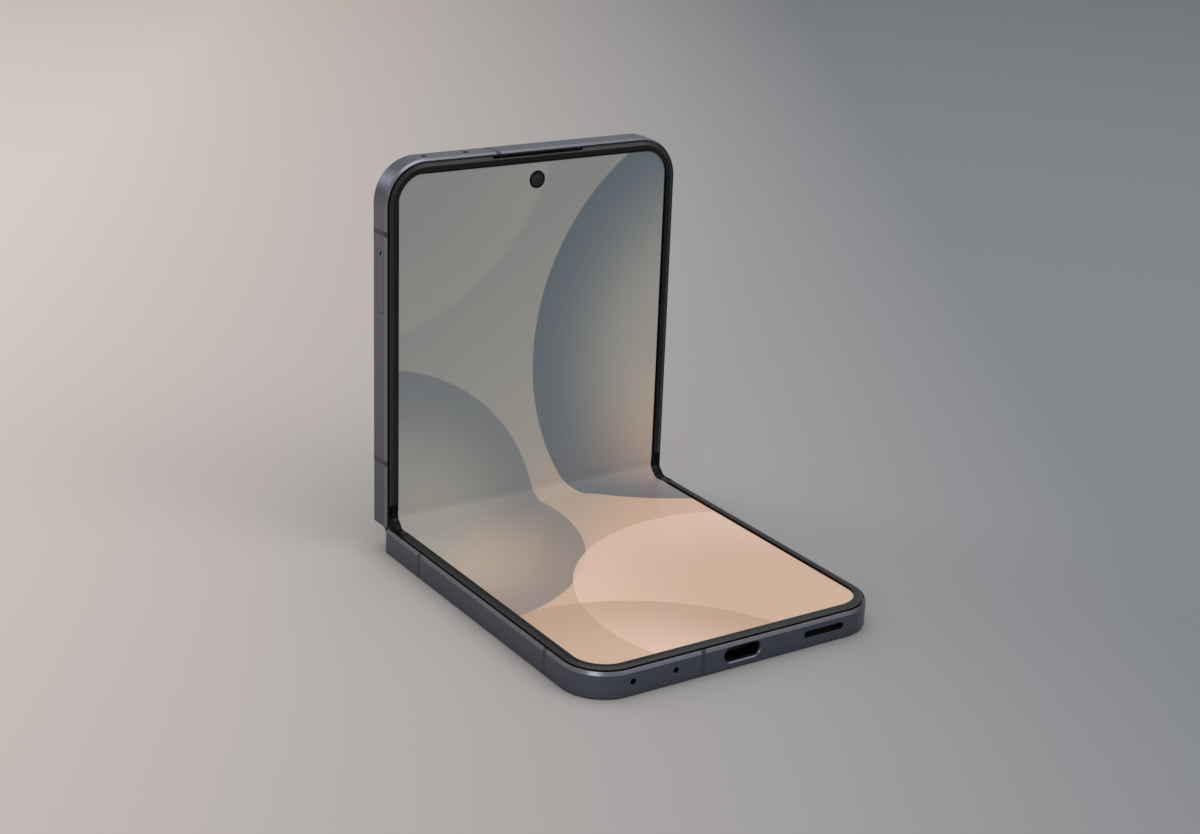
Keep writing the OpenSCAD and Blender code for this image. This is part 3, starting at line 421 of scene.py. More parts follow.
def lathe(profile, place, segments=64):
    """Turns a profile of radius and height in mm about the z axis of a place matrix."""
    shape = bmesh.new()
    rings = []
    for radius, height in profile:
        if radius == 0:
            rings.append([shape.verts.new(place @ Vector((0, 0, height * MM)))])
            continue
        rings.append([
            shape.verts.new(place @ Vector((
                radius * MM * math.cos(2 * math.pi * k / segments),
                radius * MM * math.sin(2 * math.pi * k / segments),
                height * MM,
            )))
            for k in range(segments)
        ])
    for inner, outer in zip(rings, rings[1:]):
        for k in range(segments):
            # A ring of one point gives the same corner twice, which is kept once
            corner_points = dict.fromkeys((
                inner[k % len(inner)], outer[k % len(outer)],
                outer[(k + 1) % len(outer)], inner[(k + 1) % len(inner)],
            ))
            shape.faces.new(list(corner_points))
    return finish_mesh("lathe", shape)


def finish_mesh(name, shape, sharp=math.radians(35)):
    """Turns a bmesh into a smooth mesh with its normals outside and its sharp edges marked."""
    bmesh.ops.recalc_face_normals(shape, faces=shape.faces)
    for face in shape.faces:
        face.smooth = True
    mesh = bpy.data.meshes.new(name)
    shape.to_mesh(mesh)
    shape.free()
    mesh.set_sharp_from_angle(angle=sharp)
    return mesh


def upper_place(x, s, height):
    """A place in the upper half at rest, in mm across, away from the fold and up from its back."""
    at = Matrix.Translation(LOWER_AXIS) @ Matrix.Rotation(FOLD_TURN, 4, "X")
    at = at @ Matrix.Translation((0, 2 * AXIS_HALF, 0)) @ Matrix.Rotation(FOLD_TURN, 4, "X")
    axis_in = FRAME_HIGH.y - LOWER_AXIS.y
    return at @ Matrix.Translation((x * MM, s * MM - axis_in, height * MM - LOWER_AXIS.z))


def upper_points(node):
    """The points of a node in the upper half's own mm."""
    back = upper_place(0, 0, 0).inverted()
    return [back @ v.co / MM for v in frame["nodes"][node].data.vertices]


def corners(points):
    """The lowest and highest corners of the box round some points."""
    return [tuple(pick(point[i] for point in points) for i in range(3)) for pick in (min, max)]


# Screen


def wallpaper_group():
    """The lit picture: a soft ramp along the screen with large translucent discs over it.

    Its input is the place on the unfolded screen in mm, across and along from the fold.
    """
    group = bpy.data.node_groups.new("soft_disc_wallpaper", "ShaderNodeTree")
    group.interface.new_socket("Place", in_out="INPUT", socket_type="NodeSocketVector")
    group.interface.new_socket("Color", in_out="OUTPUT", socket_type="NodeSocketColor")
    place = add(group, "NodeGroupInput").outputs[0]
    parts = add(group, "ShaderNodeSeparateXYZ", {0: place})
    c = colours()
    along = add(
        group,
        "ShaderNodeMapRange",
        {"Value": parts.outputs[1], "From Min": -PICTURE_HALF, "From Max": PICTURE_HALF},
    ).outputs[0]
    lean = add(
        group,
        "ShaderNodeMath",
        {0: parts.outputs[0], 1: PICTURE_LEAN, 2: along},
        operation="MULTIPLY_ADD",
    ).outputs[0]
    ramp = add(group, "ShaderNodeValToRGB", {0: lean})
    stops = ramp.color_ramp.elements
    stops[0].position, stops[0].color = 0.0, rgba(c.peach)
    stops[1].position, stops[1].color = 0.9, rgba(c.sage)
    for position, value in ((0.3, c.peach), (0.58, c.stone)):
        stop = stops.new(position)
        stop.color = rgba(value)
    picture = ramp.outputs[0]
    for across, up, radius, dark_edge, tint, strength in DISCS:
        away = add(
            group, "ShaderNodeVectorMath", {0: place, 1: (across, up, 0)}, operation="DISTANCE"
        ).outputs["Value"]
        inside = inside_edge(group, away, radius, DISC_SOFT, strength)
        depth = add(
            group,
            "ShaderNodeMapRange",
            {"Value": away, "From Min": radius - dark_edge, "From Max": radius},
            interpolation_type="SMOOTHSTEP",
        ).outputs[0]
        share = add(
            group, "ShaderNodeMath", {0: inside, 1: depth}, operation="MULTIPLY"
        ).outputs[0]
        value = rgba(getattr(c, tint))
        picture = add(
            group, "ShaderNodeMix", {0: share, 6: picture, 7: value}, data_type="RGBA"
        ).outputs[2]
    add(group, "NodeGroupOutput", {0: picture})
    return group


def screen_material(name, wallpaper, to_flat=None):
    """Polished film over a lit organic display: clear gloss over the picture, black at its edges.

    The place on the unfolded screen comes from the piece's own place, turned flat, or for the
    bending strips from a stored attribute that stays with them as they bend.
    """
    material, tree, shader, place = start_material(name)
    if to_flat is None:
        flat = add(tree, "ShaderNodeAttribute", attribute_name="flat_place").outputs["Vector"]
    else:
        flat = unfolded(tree, place, to_flat, (1, 1, 0))
    # Distance outside a rounded rectangle: the lit area
    half_w = (RIM_INSIDE - sizes().border) / MM
    half_l = (MIDDLE_Y - RIM_END - sizes().border) / MM
    corner = sizes().lit_corner / MM
    folded = add(tree, "ShaderNodeVectorMath", {0: flat}, operation="ABSOLUTE").outputs[0]
    past = add(
        tree,
        "ShaderNodeVectorMath",
        {0: folded, 1: (half_w - corner, half_l - corner, 0)},
        operation="SUBTRACT",
    ).outputs[0]
    past = add(
        tree, "ShaderNodeVectorMath", {0: past, 1: (0, 0, 0)}, operation="MAXIMUM"
    ).outputs[0]
    away = add(tree, "ShaderNodeVectorMath", {0: past}, operation="LENGTH").outputs["Value"]
    lit = inside_edge(tree, away, corner, LIT_SOFT)
    picture = add(tree, "ShaderNodeGroup", node_tree=wallpaper)
    tree.links.new(flat, picture.inputs[0])
    printed = add(
        tree, "ShaderNodeVectorMath", {0: picture.outputs[0], "Scale": 1 - GLOW}, operation="SCALE"
    ).outputs[0]
    shown = add(
        tree, "ShaderNodeMix", {0: lit, 6: rgba(colours().border), 7: printed}, data_type="RGBA"
    ).outputs[2]
    glow = add(
        tree, "ShaderNodeMix", {0: lit, 6: (0, 0, 0, 1), 7: picture.outputs[0]}, data_type="RGBA"
    ).outputs[2]
    tree.links.new(shown, shader.inputs["Base Color"])
    tree.links.new(glow, shader.inputs["Emission Color"])
    shader.inputs["Emission Strength"].default_value = GLOW
    # The film's faint orange peel, in waves of some millimetres
    ripple = grain(tree, place, 9.0, detail=1.0)
    relief = add(
        tree, "ShaderNodeBump", {"Height": ripple, "Distance": 0.0004 * MM, "Strength": 0.3}
    ).outputs[0]
    tree.links.new(relief, shader.inputs["Normal"])
    shader.inputs["Roughness"].default_value = 0.27
    shader.inputs["IOR"].default_value = 1.45
    shader.inputs["Specular IOR Level"].default_value = 0.14
    return material


def bend_profile(level, reach, steps):
    """Places and directions from the spine's middle to where the flat part of a half begins.

    A fifth degree curve leaves the spine's middle level, a crease below the open screen, and
    meets the flat part with its slope. Its bulge shares the bend out between the half open
    and the open screen.
    """
    out = reach - AXIS_HALF
    slope = math.tan(FOLD_TURN)
    end = Vector((AXIS_HALF + out * math.cos(FOLD_TURN) - level * math.sin(FOLD_TURN),
                  out * math.sin(FOLD_TURN) + level * math.cos(FOLD_TURN)))
    middle = level - sizes().crease
    second, third = (part * reach for part in BULGE)
    rest = end.y - middle - second - third
    fifth = slope * end.x - 2 * second - 3 * third - 4 * rest
    parts = (middle, 0, second, third, rest - fifth, fifth)
    profile = []
    for k in range(steps + 1):
        t = k / steps
        height = sum(part * t**i for i, part in enumerate(parts))
        rise = sum(i * part * t ** (i - 1) for i, part in enumerate(parts) if i) / end.x
        profile.append((Vector((t * end.x, height)), Vector((1, rise)).normalized()))
    return profile


def bending_strip(name, side, material, spans, depths, tail=0.0):
    """One half of what bends with the screen, from the spine's middle to the flat part of a half.

    Spans are its reaches across, depths its top and bottom below the screen, and its tail runs
    on straight past the bend.
    """
    reach = MIDDLE_Y - PANEL_HIGH.y
    level = PANEL_HIGH.z - LOWER_AXIS.z
    profile = bend_profile(level, reach, sizes().strip_steps)
    ways = [0.0]
    for (a, _), (b, _) in zip(profile, profile[1:]):
        ways.append(ways[-1] + (b - a).length)
    ways = [reach * way / ways[-1] for way in ways]
    end, onwards = profile[-1]
    if tail:
        profile.append((end + tail * onwards, onwards))
        ways.append(reach + tail)
    last = len(profile) - 1
    shape = bmesh.new()
    flat_place = []
    for span in spans:
        rows = []
        for depth in depths:
            for (at, along), way in zip(profile, ways):
                below = at + depth * Vector((along.y, -along.x))
                row = []
                for x in span:
                    place = SPINE_PLACE @ Vector((x, side * below.x, below.y))
                    row.append(shape.verts.new(place))
                    flat_place.append((x / MM, side * way / MM, 0))
                rows.append(row)
        tops, lows = rows[: last + 1], rows[last + 1 :]
        for line in (tops, lows):
            for a, b in zip(line, line[1:]):
                shape.faces.new((a[0], a[1], b[1], b[0]))
        for edge in (0, 1):
            for k in range(last):
                top, next_top = tops[k][edge], tops[k + 1][edge]
                shape.faces.new((top, next_top, lows[k + 1][edge], lows[k][edge]))
        for k in (0, last):
            shape.faces.new((tops[k][0], tops[k][1], lows[k][1], lows[k][0]))
    mesh = finish_mesh(name, shape)
    stored = mesh.attributes.new("flat_place", "FLOAT_VECTOR", "POINT")
    stored.data.foreach_set("vector", [n for point in flat_place for n in point])
    piece = new_piece(name, mesh, None, material)
    if side < 0:
        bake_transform(piece)
    else:
        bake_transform(piece)
    return piece


class PHONE_OT_screen(bpy.types.Operator):
    """Lights the folding screen and makes the part of it that bends"""

    bl_idname = "phone.screen"
    bl_label = "Folding screen"

    def execute(self, context):
        wallpaper = wallpaper_group()
        for half, to_flat in (("lower", Matrix.Identity(4)), ("upper", UPPER_TO_FLAT)):
            lit = screen_material(f"lit_display_film_{half}", wallpaper, to_flat)
            dress(lit, f"{half}_screen")
        bend = screen_material("lit_display_film_bend", wallpaper)
        half_w, thick = PANEL_HIGH.x, PANEL_HIGH.z - PANEL_LOW.z
        # Thermoplastic urethane, moulded thin: dull black edging that bends beside the screen
        edging = surface(
            "urethane_edging_moulded", colours().border, 0.6, 0.16, 0.06, 0.003,
            Specular_IOR_Level=0.1,
        )
        below = 0.05 * MM
        edge = (half_w + CLEAR, FRAME_INSIDE - below)
        edges = (edge, tuple(-x for x in edge))
        for half, side, rim_start in (
            ("lower", -1, MIDDLE_Y - RIM_HIGH.y),
            ("upper", 1, corners(upper_points("upper_rim"))[0][1] * MM + END_GAP),
        ):
            strip = bending_strip(
                f"screen_bend_{half}", side, bend, ((-half_w, half_w),), (0, thick)
            )
            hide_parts("fold_screen")
            tail = rim_start - (MIDDLE_Y - PANEL_HIGH.y) - CLEAR
            bending_strip(
                f"screen_edging_{half}", side, edging, edges, (below, thick), tail
            )
        return {"FINISHED"}


class PHONE_OT_frames(bpy.types.Operator):
    """Anodises the frames and what is flush with them, and colours the bands and rims"""

    bl_idname = "phone.frames"
    bl_label = "Frames, bands and rims"

    def execute(self, context):
        c = colours()
        # Anodised aluminium, bead blasted: a dark satin sheen that spreads highlights softly
        dress(self.anodised("anodised_aluminium_blasted"), "card_tray", "volume_key", "side_key")
        for half, up in (("lower", Vector((0, 0, 1))), ("upper", UPPER_UP)):
            # The same metal, diamond cut along the chamfer: a bright line beside the screen. The
            # rounded edge round the back is darkened with painted shade
            metal = self.anodised(f"anodised_aluminium_cut_{half}")
            facet(metal, up, CHAMFER, c.cut, 0.29)
            facet(metal, up, BACK_EDGE, [v * BACK_SHADE for v in c.metal], 0.36, reach=0.5)
            if half == "upper":
                self.shade_bores(metal)
            dress(metal, f"{half}_frame")
            # Thermoplastic urethane, moulded: soft and black. Its bevel is a little lighter: a
            # painted highlight
            urethane = surface(
                f"urethane_moulded_{half}", c.rim, 0.4, 0.16, 0.06, 0.003, Specular_IOR_Level=0.3
            )
            facet(urethane, up, BEVEL, c.rim_bevel_highlight, 0.34)
            dress(urethane, f"{half}_rim")
        # Glass filled nylon, moulded into the frame: darker and flatter than the metal
        nylon = surface("filled_nylon_moulded", c.band, 0.55, 0.2, 0.05, 0.004)
        dress(nylon, "lower_bands", "upper_bands")
        # Acetal, machined: the black caps that close the spine's ends
        acetal = surface(
            "acetal_black_machined", c.rim, 0.5, 0.2, 0.05, 0.004, Specular_IOR_Level=0.3
        )
        dress(acetal, "spine_end_caps")
        return {"FINISHED"}

    def anodised(self, name):
        return surface(name, colours().metal, 0.36, 0.12, 0.03, 0.0012, Metallic=1.0)

    def shade_bores(self, metal):
        """Lays painted shade on the walls of the upper frame's microphone holes, in black."""
        tree, shader = opened(metal)
        place = add(tree, "ShaderNodeTexCoord").outputs["Object"]
        across = unfolded(tree, place, UPPER_TO_FLAT, (1, 0, 1))
        low, high = corners(upper_points("upper_microphones"))
        for x in (low[0] + CAN_WIDTH / 2, high[0] - CAN_WIDTH / 2):
            middle = (x, 0, high[2] - CAN_OVER_HOLE)
            away = add(
                tree, "ShaderNodeVectorMath", {0: across, 1: middle}, operation="DISTANCE"
            ).outputs["Value"]
            inside = add(
                tree, "ShaderNodeMath", {0: away, 1: HOLE_RADIUS + 0.02}, operation="LESS_THAN"
            ).outputs[0]
            # Painted shade: the hole's wall takes the black of the screen's border
            paint_over(tree, shader, inside, rgba(colours().border))


class PHONE_OT_backs(bpy.types.Operator):
    """Finishes the glass backs, the cover display and the flash"""

    bl_idname = "phone.backs"
    bl_label = "Glass backs"

    def execute(self, context):
        c = colours()
        # Etched glass over a printed colour: satin, with a fine sparkle and no sharp reflection
        frosted = surface(
            "frosted_glass_etched", c.glass_back, 0.3, 0.08, 0.02, 0.002,
            Coat_Weight=0.15, Coat_Roughness=0.3,
        )
        dress(frosted, "lower_back_glass")
        # Polished glass over a black print and display: deep, almost black, with clear reflections
        polished = surface("cover_glass_polished", c.cover, 0.08, 0.3, 0.02, 0.0001, IOR=1.5)
        self.flash_window(polished)
        dress(polished, "cover_glass")
        # Organic display under glass, switched off: plain black
        dark_display = surface("display_switched_off", linear("#131418"), 0.12, 0.1, 0.04, 0.001)
        dress(dark_display, "cover_display")
        self.flash()
        return {"FINISHED"}

    def flash_light(self, tree, place):
        """The distance from the flash's middle, seen from behind, and the flash's colour there."""
        low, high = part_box("flash_lens")
        middle = (low + high) / 2
        behind = add(
            tree, "ShaderNodeVectorMath", {0: place, 1: (1, 0, 1)}, operation="MULTIPLY"
        ).outputs[0]
        away = add(
            tree,
            "ShaderNodeVectorMath",
            {0: behind, 1: (middle.x, 0, middle.z)},
            operation="DISTANCE",
        ).outputs["Value"]
        # Yellow in the middle, pale in the outer part
        pale = add(
            tree, "ShaderNodeMapRange", {"Value": away, "From Min": 0.6 * MM, "From Max": 1.3 * MM}
        ).outputs[0]
        yellow, white = rgba(linear("#E3D28E")), rgba(linear("#E9E6DA"))
        tint = add(tree, "ShaderNodeMix", {0: pale, 6: yellow, 7: white}, data_type="RGBA")
        return away, tint.outputs[2]

    def flash_window(self, glass):
        """Paints a pale disc on the glass over the flash, because the glass is opaque here."""
        tree, shader = opened(glass)
        place = add(tree, "ShaderNodeTexCoord").outputs["Object"]
        away, tint = self.flash_light(tree, place)
        low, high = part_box("flash_lens")
        window = inside_edge(tree, away, (high.x - low.x) / 2 - 0.1 * MM, 0.03 * MM)
        paint_over(tree, shader, window, tint)

    def flash(self):
        """Moulded acrylic over yellow phosphor: stepped rings show over a warm middle."""
        material, tree, shader, place = start_material("flash_acrylic_moulded")
        away, tint = self.flash_light(tree, place)
        tree.links.new(tint, shader.inputs["Base Color"])
        rings = add(tree, "ShaderNodeMath", {0: away, 1: 0.25 * MM}, operation="PINGPONG")
        relief = {"Height": rings.outputs[0], "Distance": 0.3, "Strength": 0.8}
        steps = add(tree, "ShaderNodeBump", relief)
        tree.links.new(steps.outputs[0], shader.inputs["Normal"])
        shader.inputs["Roughness"].default_value = 0.15
        dress(material, "flash_lens")


class PHONE_OT_cameras(bpy.types.Operator):
    """Builds the lens barrels behind their glass, and the front camera's lens"""

    bl_idname = "phone.cameras"
    bl_label = "Cameras"

    def execute(self, context):
        # Aluminium, turned and anodised: a tighter shine than the blasted frame has
        ring = surface(
            "anodised_aluminium_turned", colours().metal, 0.24, 0.3, 0.03, 0.003, Metallic=1.0
        )
        dress(ring, "camera_rings")
        # Aluminium, turned and blackened: stepped rings that fade into the dark
        barrel = surface(
            "aluminium_blackened", linear("#050506"), 0.5, 0.2, 0.1, 0.003,
            Specular_IOR_Level=0.3,
        )
        coated = self.coated_glass()
        clear = self.clear_glass()
        low, high = corners(upper_points("camera_lenses"))
        radius = (high[1] - low[1]) / 2
        depth = high[2] - low[2]
        # In mm: the cover glass, its gap over the barrel, and the barrel's steps down to the lens
        cover, gap = 0.1, 0.02
        first, ledge, slope, drop = 0.35, 0.62, 0.12, 0.08
        level = depth - cover - gap
        steps = [(0, 0), (radius, 0), (radius, level)]
        for step in range(4):
            inner = radius - first - ledge * step
            steps += [(inner, level), (inner - slope, level - drop)]
            level -= drop
        steps.append((0, level))
        glass = [(0, 0), (radius, 0), (radius, cover - 0.04), (radius - 0.04, cover), (0, cover)]
        middle = (low[1] + high[1]) / 2
        for side, x in (("inner", low[0] + radius), ("outer", high[0] - radius)):
            back = upper_place(x, middle, high[2]) @ Matrix.Rotation(math.pi, 4, "X")
            for part, profile, up, material in (
                ("barrel", steps, 0, barrel),
                ("element", self.dome(2.2, 0.04, 0.2), level, coated),
                ("cover_glass", glass, depth - cover, clear),
            ):
                turned = lathe(profile, back @ Matrix.Translation((0, 0, up * MM)))
                name = f"camera_{part}_{side}"
                piece = new_piece(name, turned, "upper_half", material)
                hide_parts("camera_lenses")
        self.front()
        return {"FINISHED"}

    def dome(self, radius, foot, rise):
        """The profile in mm of a lens: a foot with a low dome on it."""
        turns = [k * math.pi / 16 for k in range(8)]
        curve = [(radius * math.cos(turn), foot + rise * math.sin(turn)) for turn in turns]
        return [(0, 0), (radius, 0)] + curve + [(0, foot + rise)]

    def front(self):
        """The front camera's lens, in the hole of the screen."""
        # Black polymer, moulded: the raised edge of the barrel in the hole
        edge = surface(
            "polymer_moulded_black", linear("#0A0A0A"), 0.4, 0.2, 0.05, 0.002,
            Specular_IOR_Level=0.2,
        )
        dress(edge, "front_camera")
        places = upper_points("front_camera")
        # The floor of its hole is the highest level below its top
        top = max(p.z for p in places)
        floor = max(p.z for p in places if p.z < top - 0.01)
        mouth = [p.y for p in places if abs(p.z - floor) < 0.005]
        middle = (min(mouth) + max(mouth)) / 2
        radius = (max(mouth) - min(mouth)) / 2 - 0.03
        # A thin window with a raised edge and a shallow ring groove round the lens, in mm
        window = [(0, 0), (radius, 0), (radius, 0.03), (radius - 0.05, 0.045), (1.02, 0.045),
                  (0.94, 0.02), (0.7, 0.02), (0.62, 0.03), (0, 0.03)]
        # Smoked glass, polished: a dark grey ring round the lens
        smoked = surface(
            "window_glass_smoked", linear("#1C1C1B"), 0.16, 1.5, 0.06, 0.001, round_edges=False
        )
        for name, profile, up, material in (
            ("front_window", window, 0.001, smoked),
            ("front_lens", self.dome(0.56, 0.01, 0.08), 0.032, self.coated_glass()),
        ):
            turned = lathe(profile, upper_place(0, middle, floor + up))
            new_piece(name, turned, "upper_half", material)

    def coated_glass(self):
        """Ground optical glass, coated: black, with a painted blue and violet sheen at a slant."""
        material, tree, shader, place = start_material("optical_glass_coated")
        # Painted sheen: the colour turns from blue to violet as the surface slants away
        slant = add(tree, "ShaderNodeLayerWeight", {"Blend": 0.35}).outputs["Facing"]
        blue, violet = rgba(linear("#0B0D14")), rgba(linear("#2A2440"))
        tint = add(tree, "ShaderNodeMix", {0: slant, 6: blue, 7: violet}, data_type="RGBA")
        tree.links.new(tint.outputs[2], shader.inputs["Base Color"])
        ripple = grain(tree, place, 2.0)
        tree.links.new(spread_over(tree, ripple, 0.03, 0.06), shader.inputs["Roughness"])
        shader.inputs["IOR"].default_value = 1.7
        shader.inputs["Specular IOR Level"].default_value = 0.3
        shader.inputs["Coat Weight"].default_value = 0.3
        shader.inputs["Coat Roughness"].default_value = 0.02
        return material

    def clear_glass(self):
        """Toughened glass, polished: clear, with a sharp reflection."""
        material, tree, shader, place = start_material("cover_glass_clear")
        ripple = grain(tree, place, 3.0)
        tree.links.new(spread_over(tree, ripple, 0.01, 0.03), shader.inputs["Roughness"])
        shader.inputs["Base Color"].default_value = rgba(linear("#F4F6F8"))
        shader.inputs["Transmission Weight"].default_value = 1.0
        shader.inputs["IOR"].default_value = 1.5
        shader.inputs["Specular IOR Level"].default_value = 0.3
        return material


class PHONE_OT_ports(bpy.types.Operator):
    """Finishes the charging socket, its contacts and the sound openings"""

    bl_idname = "phone.ports"
    bl_label = "Ports"

    def execute(self, context):
        # Stainless steel, drawn: fine lines along the phone and a grey satin shine. The socket's
        # shell is painted dark as painted shade, so that it hardly shows
        lines = (1, 0.05, 1)
        for name, tint, rough, pieces in (
            ("stainless_steel_drawn", "#A9ABB0", 0.28,
             ("hinge_pins", "shield_cans", "vibration_motor", "tray_reader")),
            ("stainless_steel_blackened", "#2A2B2F", 0.4, ("charging_socket",)),
        ):
            steel = surface(name, linear(tint), rough, 0.3, 0.04, 0.003, lines, Metallic=1.0)
            dress(steel, *pieces)
        # Acoustic cloth over the openings: black, flat and slightly fibrous
        cloth = surface(
            "acoustic_mesh_woven", linear("#050507"), 0.7, 0.12, 0.15, 0.01,
            Specular_IOR_Level=0.15,
        )
        dress(cloth, "speaker_mesh", "earpiece_mesh")
        self.contacts()
        return {"FINISHED"}

    def contacts(self):
        """Gold plated contacts on either face of the tongue, with bevelled tops."""
        low, high = self.tongue_box()
        shape = bmesh.new()
        count, pitch, reach = 12, sizes().contact_pitch, sizes().contact_length
        wide, thick = pitch * 0.5, 0.03 * MM
        # They begin 0.3 mm behind the tongue's front, and their tops are a bevel shorter
        start, bevel = low[1] + 0.3 * MM, 0.04 * MM
        run = reach - 2 * bevel
        for face, up in ((high[2], 1), (low[2], -1)):
            for k in range(count):
                x = (k - (count - 1) / 2) * pitch
                pad = [(sx * wide / 2, sy) for sx, sy in ((-1, 0), (1, 0), (1, 1), (-1, 1))]
                foot = [(x + px, start + py * reach) for px, py in pad]
                inset = [(x + px * 0.8, start + bevel + py * run) for px, py in pad]
                base = [shape.verts.new((px, py, face)) for px, py in foot]
                top = [shape.verts.new((px, py, face + up * thick)) for px, py in inset]
                shape.faces.new(base)
                shape.faces.new(top)
                for i in range(4):
                    shape.faces.new((base[i], base[(i + 1) % 4], top[(i + 1) % 4], top[i]))
        # Copper alloy, gold plated: small bright yellow pads
        gold = surface(
            "copper_gold_plated", linear("#D8B25C"), 0.22, 0.2, 0.04, 0.001,
            round_edges=False, Metallic=1.0,
        )
        pads = finish_mesh("socket_contacts", shape)
        new_piece("socket_contacts", pads, "lower_half", gold)

    def tongue_box(self):
        """The tongue's box, from the points of the socket near its middle."""
        low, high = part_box("charging_socket")
        middle = (low + high) / 2
        half_thick, half_wide = 0.45 * MM, 3.4 * MM
        near = [
            v.co
            for v in frame["nodes"]["charging_socket"].data.vertices
            if abs(v.co.z - middle.z) < half_thick and abs(v.co.x) < half_wide
        ]
        return corners(near)


class PHONE_OT_hinge(bpy.types.Operator):
    """Finishes the spine's cover, the hinge arms, blocks and gears"""

    bl_idname = "phone.hinge"
    bl_label = "Hinge"

    def execute(self, context):
        # Aluminium, polished along its length, then anodised: a long even highlight
        lines = (0.04, 1, 1)
        polished = surface(
            "anodised_aluminium_polished", colours().spine, 0.22, 0.25, 0.03, 0.002, lines,
            Metallic=1.0,
        )
        dress(polished, "spine_cover")
        # Sintered steel: matt grey with fine pores
        sintered = surface(
            "steel_sintered", linear("#777A80"), 0.45, 0.15, 0.08, 0.008, Metallic=1.0
        )
        dress(sintered, "hinge_blocks", "lower_hinge_arms", "upper_hinge_arms")
        # Brass, milled: warm, with edges that catch light along the teeth
        brass = surface("brass_milled", linear("#C2A35C"), 0.32, 0.2, 0.06, 0.004, Metallic=1.0)
        dress(brass, "idler_gear_a", "idler_gear_b")
        return {"FINISHED"}


class PHONE_OT_inside(bpy.types.Operator):
    """Finishes the boards, cells, cameras' backs, screws and ribbons inside"""

    bl_idname = "phone.inside"
    bl_label = "Inside"

    def execute(self, context):
        metal = {"Metallic": 1.0}
        # Name, colour, roughness, grain in mm, colour depth, relief in mm, further sockets, pieces
        for name, tint, rough, size, depth, relief, sockets, pieces in (
            # Spring steel sheet, etched: dull grey, hardly grained
            ("spring_steel_etched", "#8B8D90", 0.4, 0.3, 0.04, 0.003, metal,
             ("lower_screen_plate", "upper_screen_plate")),
            # Foil pouch in a dark sleeve: broad soft waves
            ("battery_pouch_sleeved", "#2E3034", 0.4, 5.0, 0.08, 0.06, {},
             ("lower_battery", "upper_battery")),
            # Enamelled copper wire: warm and finely grained under its varnish
            ("copper_wire_enamelled", "#B0703A", 0.3, 0.3, 0.1, 0.01, metal, ("charging_coil",)),
            # Glass fibre board under solder mask: dark green in uneven depths
            ("board_solder_masked", "#1F4A3A", 0.38, 0.6, 0.2, 0.008, {},
             ("port_board", "main_board")),
            # Moulded liquid crystal polymer: plain black
            ("black_polymer_moulded", "#202124", 0.5, 0.3, 0.06, 0.006, {},
             ("loudspeaker", "earpiece", "camera_modules")),
            # Gold plated domes: pale yellow, satin
            ("brass_gold_plated", "#C0A868", 0.3, 0.2, 0.04, 0.003, metal, ("key_switches",)),
            # Screw steel, blackened: dark grey with a dull shine
            ("screw_steel_blackened", "#6D6F73", 0.35, 0.2, 0.06, 0.004, metal,
             ("lower_screws", "upper_screws")),
            # Polyimide film, printed: dark amber in uneven depths
            ("polyimide_film_printed", "#7A4A1E", 0.3, 0.5, 0.2, 0.003, {},
             ("lower_flex", "upper_flex")),
            # Silicone rubber, moulded: matt black, in the seal and the microphones' boots
            ("silicone_rubber_moulded", "#111114", 0.7, 0.2, 0.05, 0.004, {},
             ("tray_seal", "lower_microphones", "upper_microphones")),
        ):
            dress(surface(name, linear(tint), rough, size, depth, relief, **sockets), *pieces)
        return {"FINISHED"}


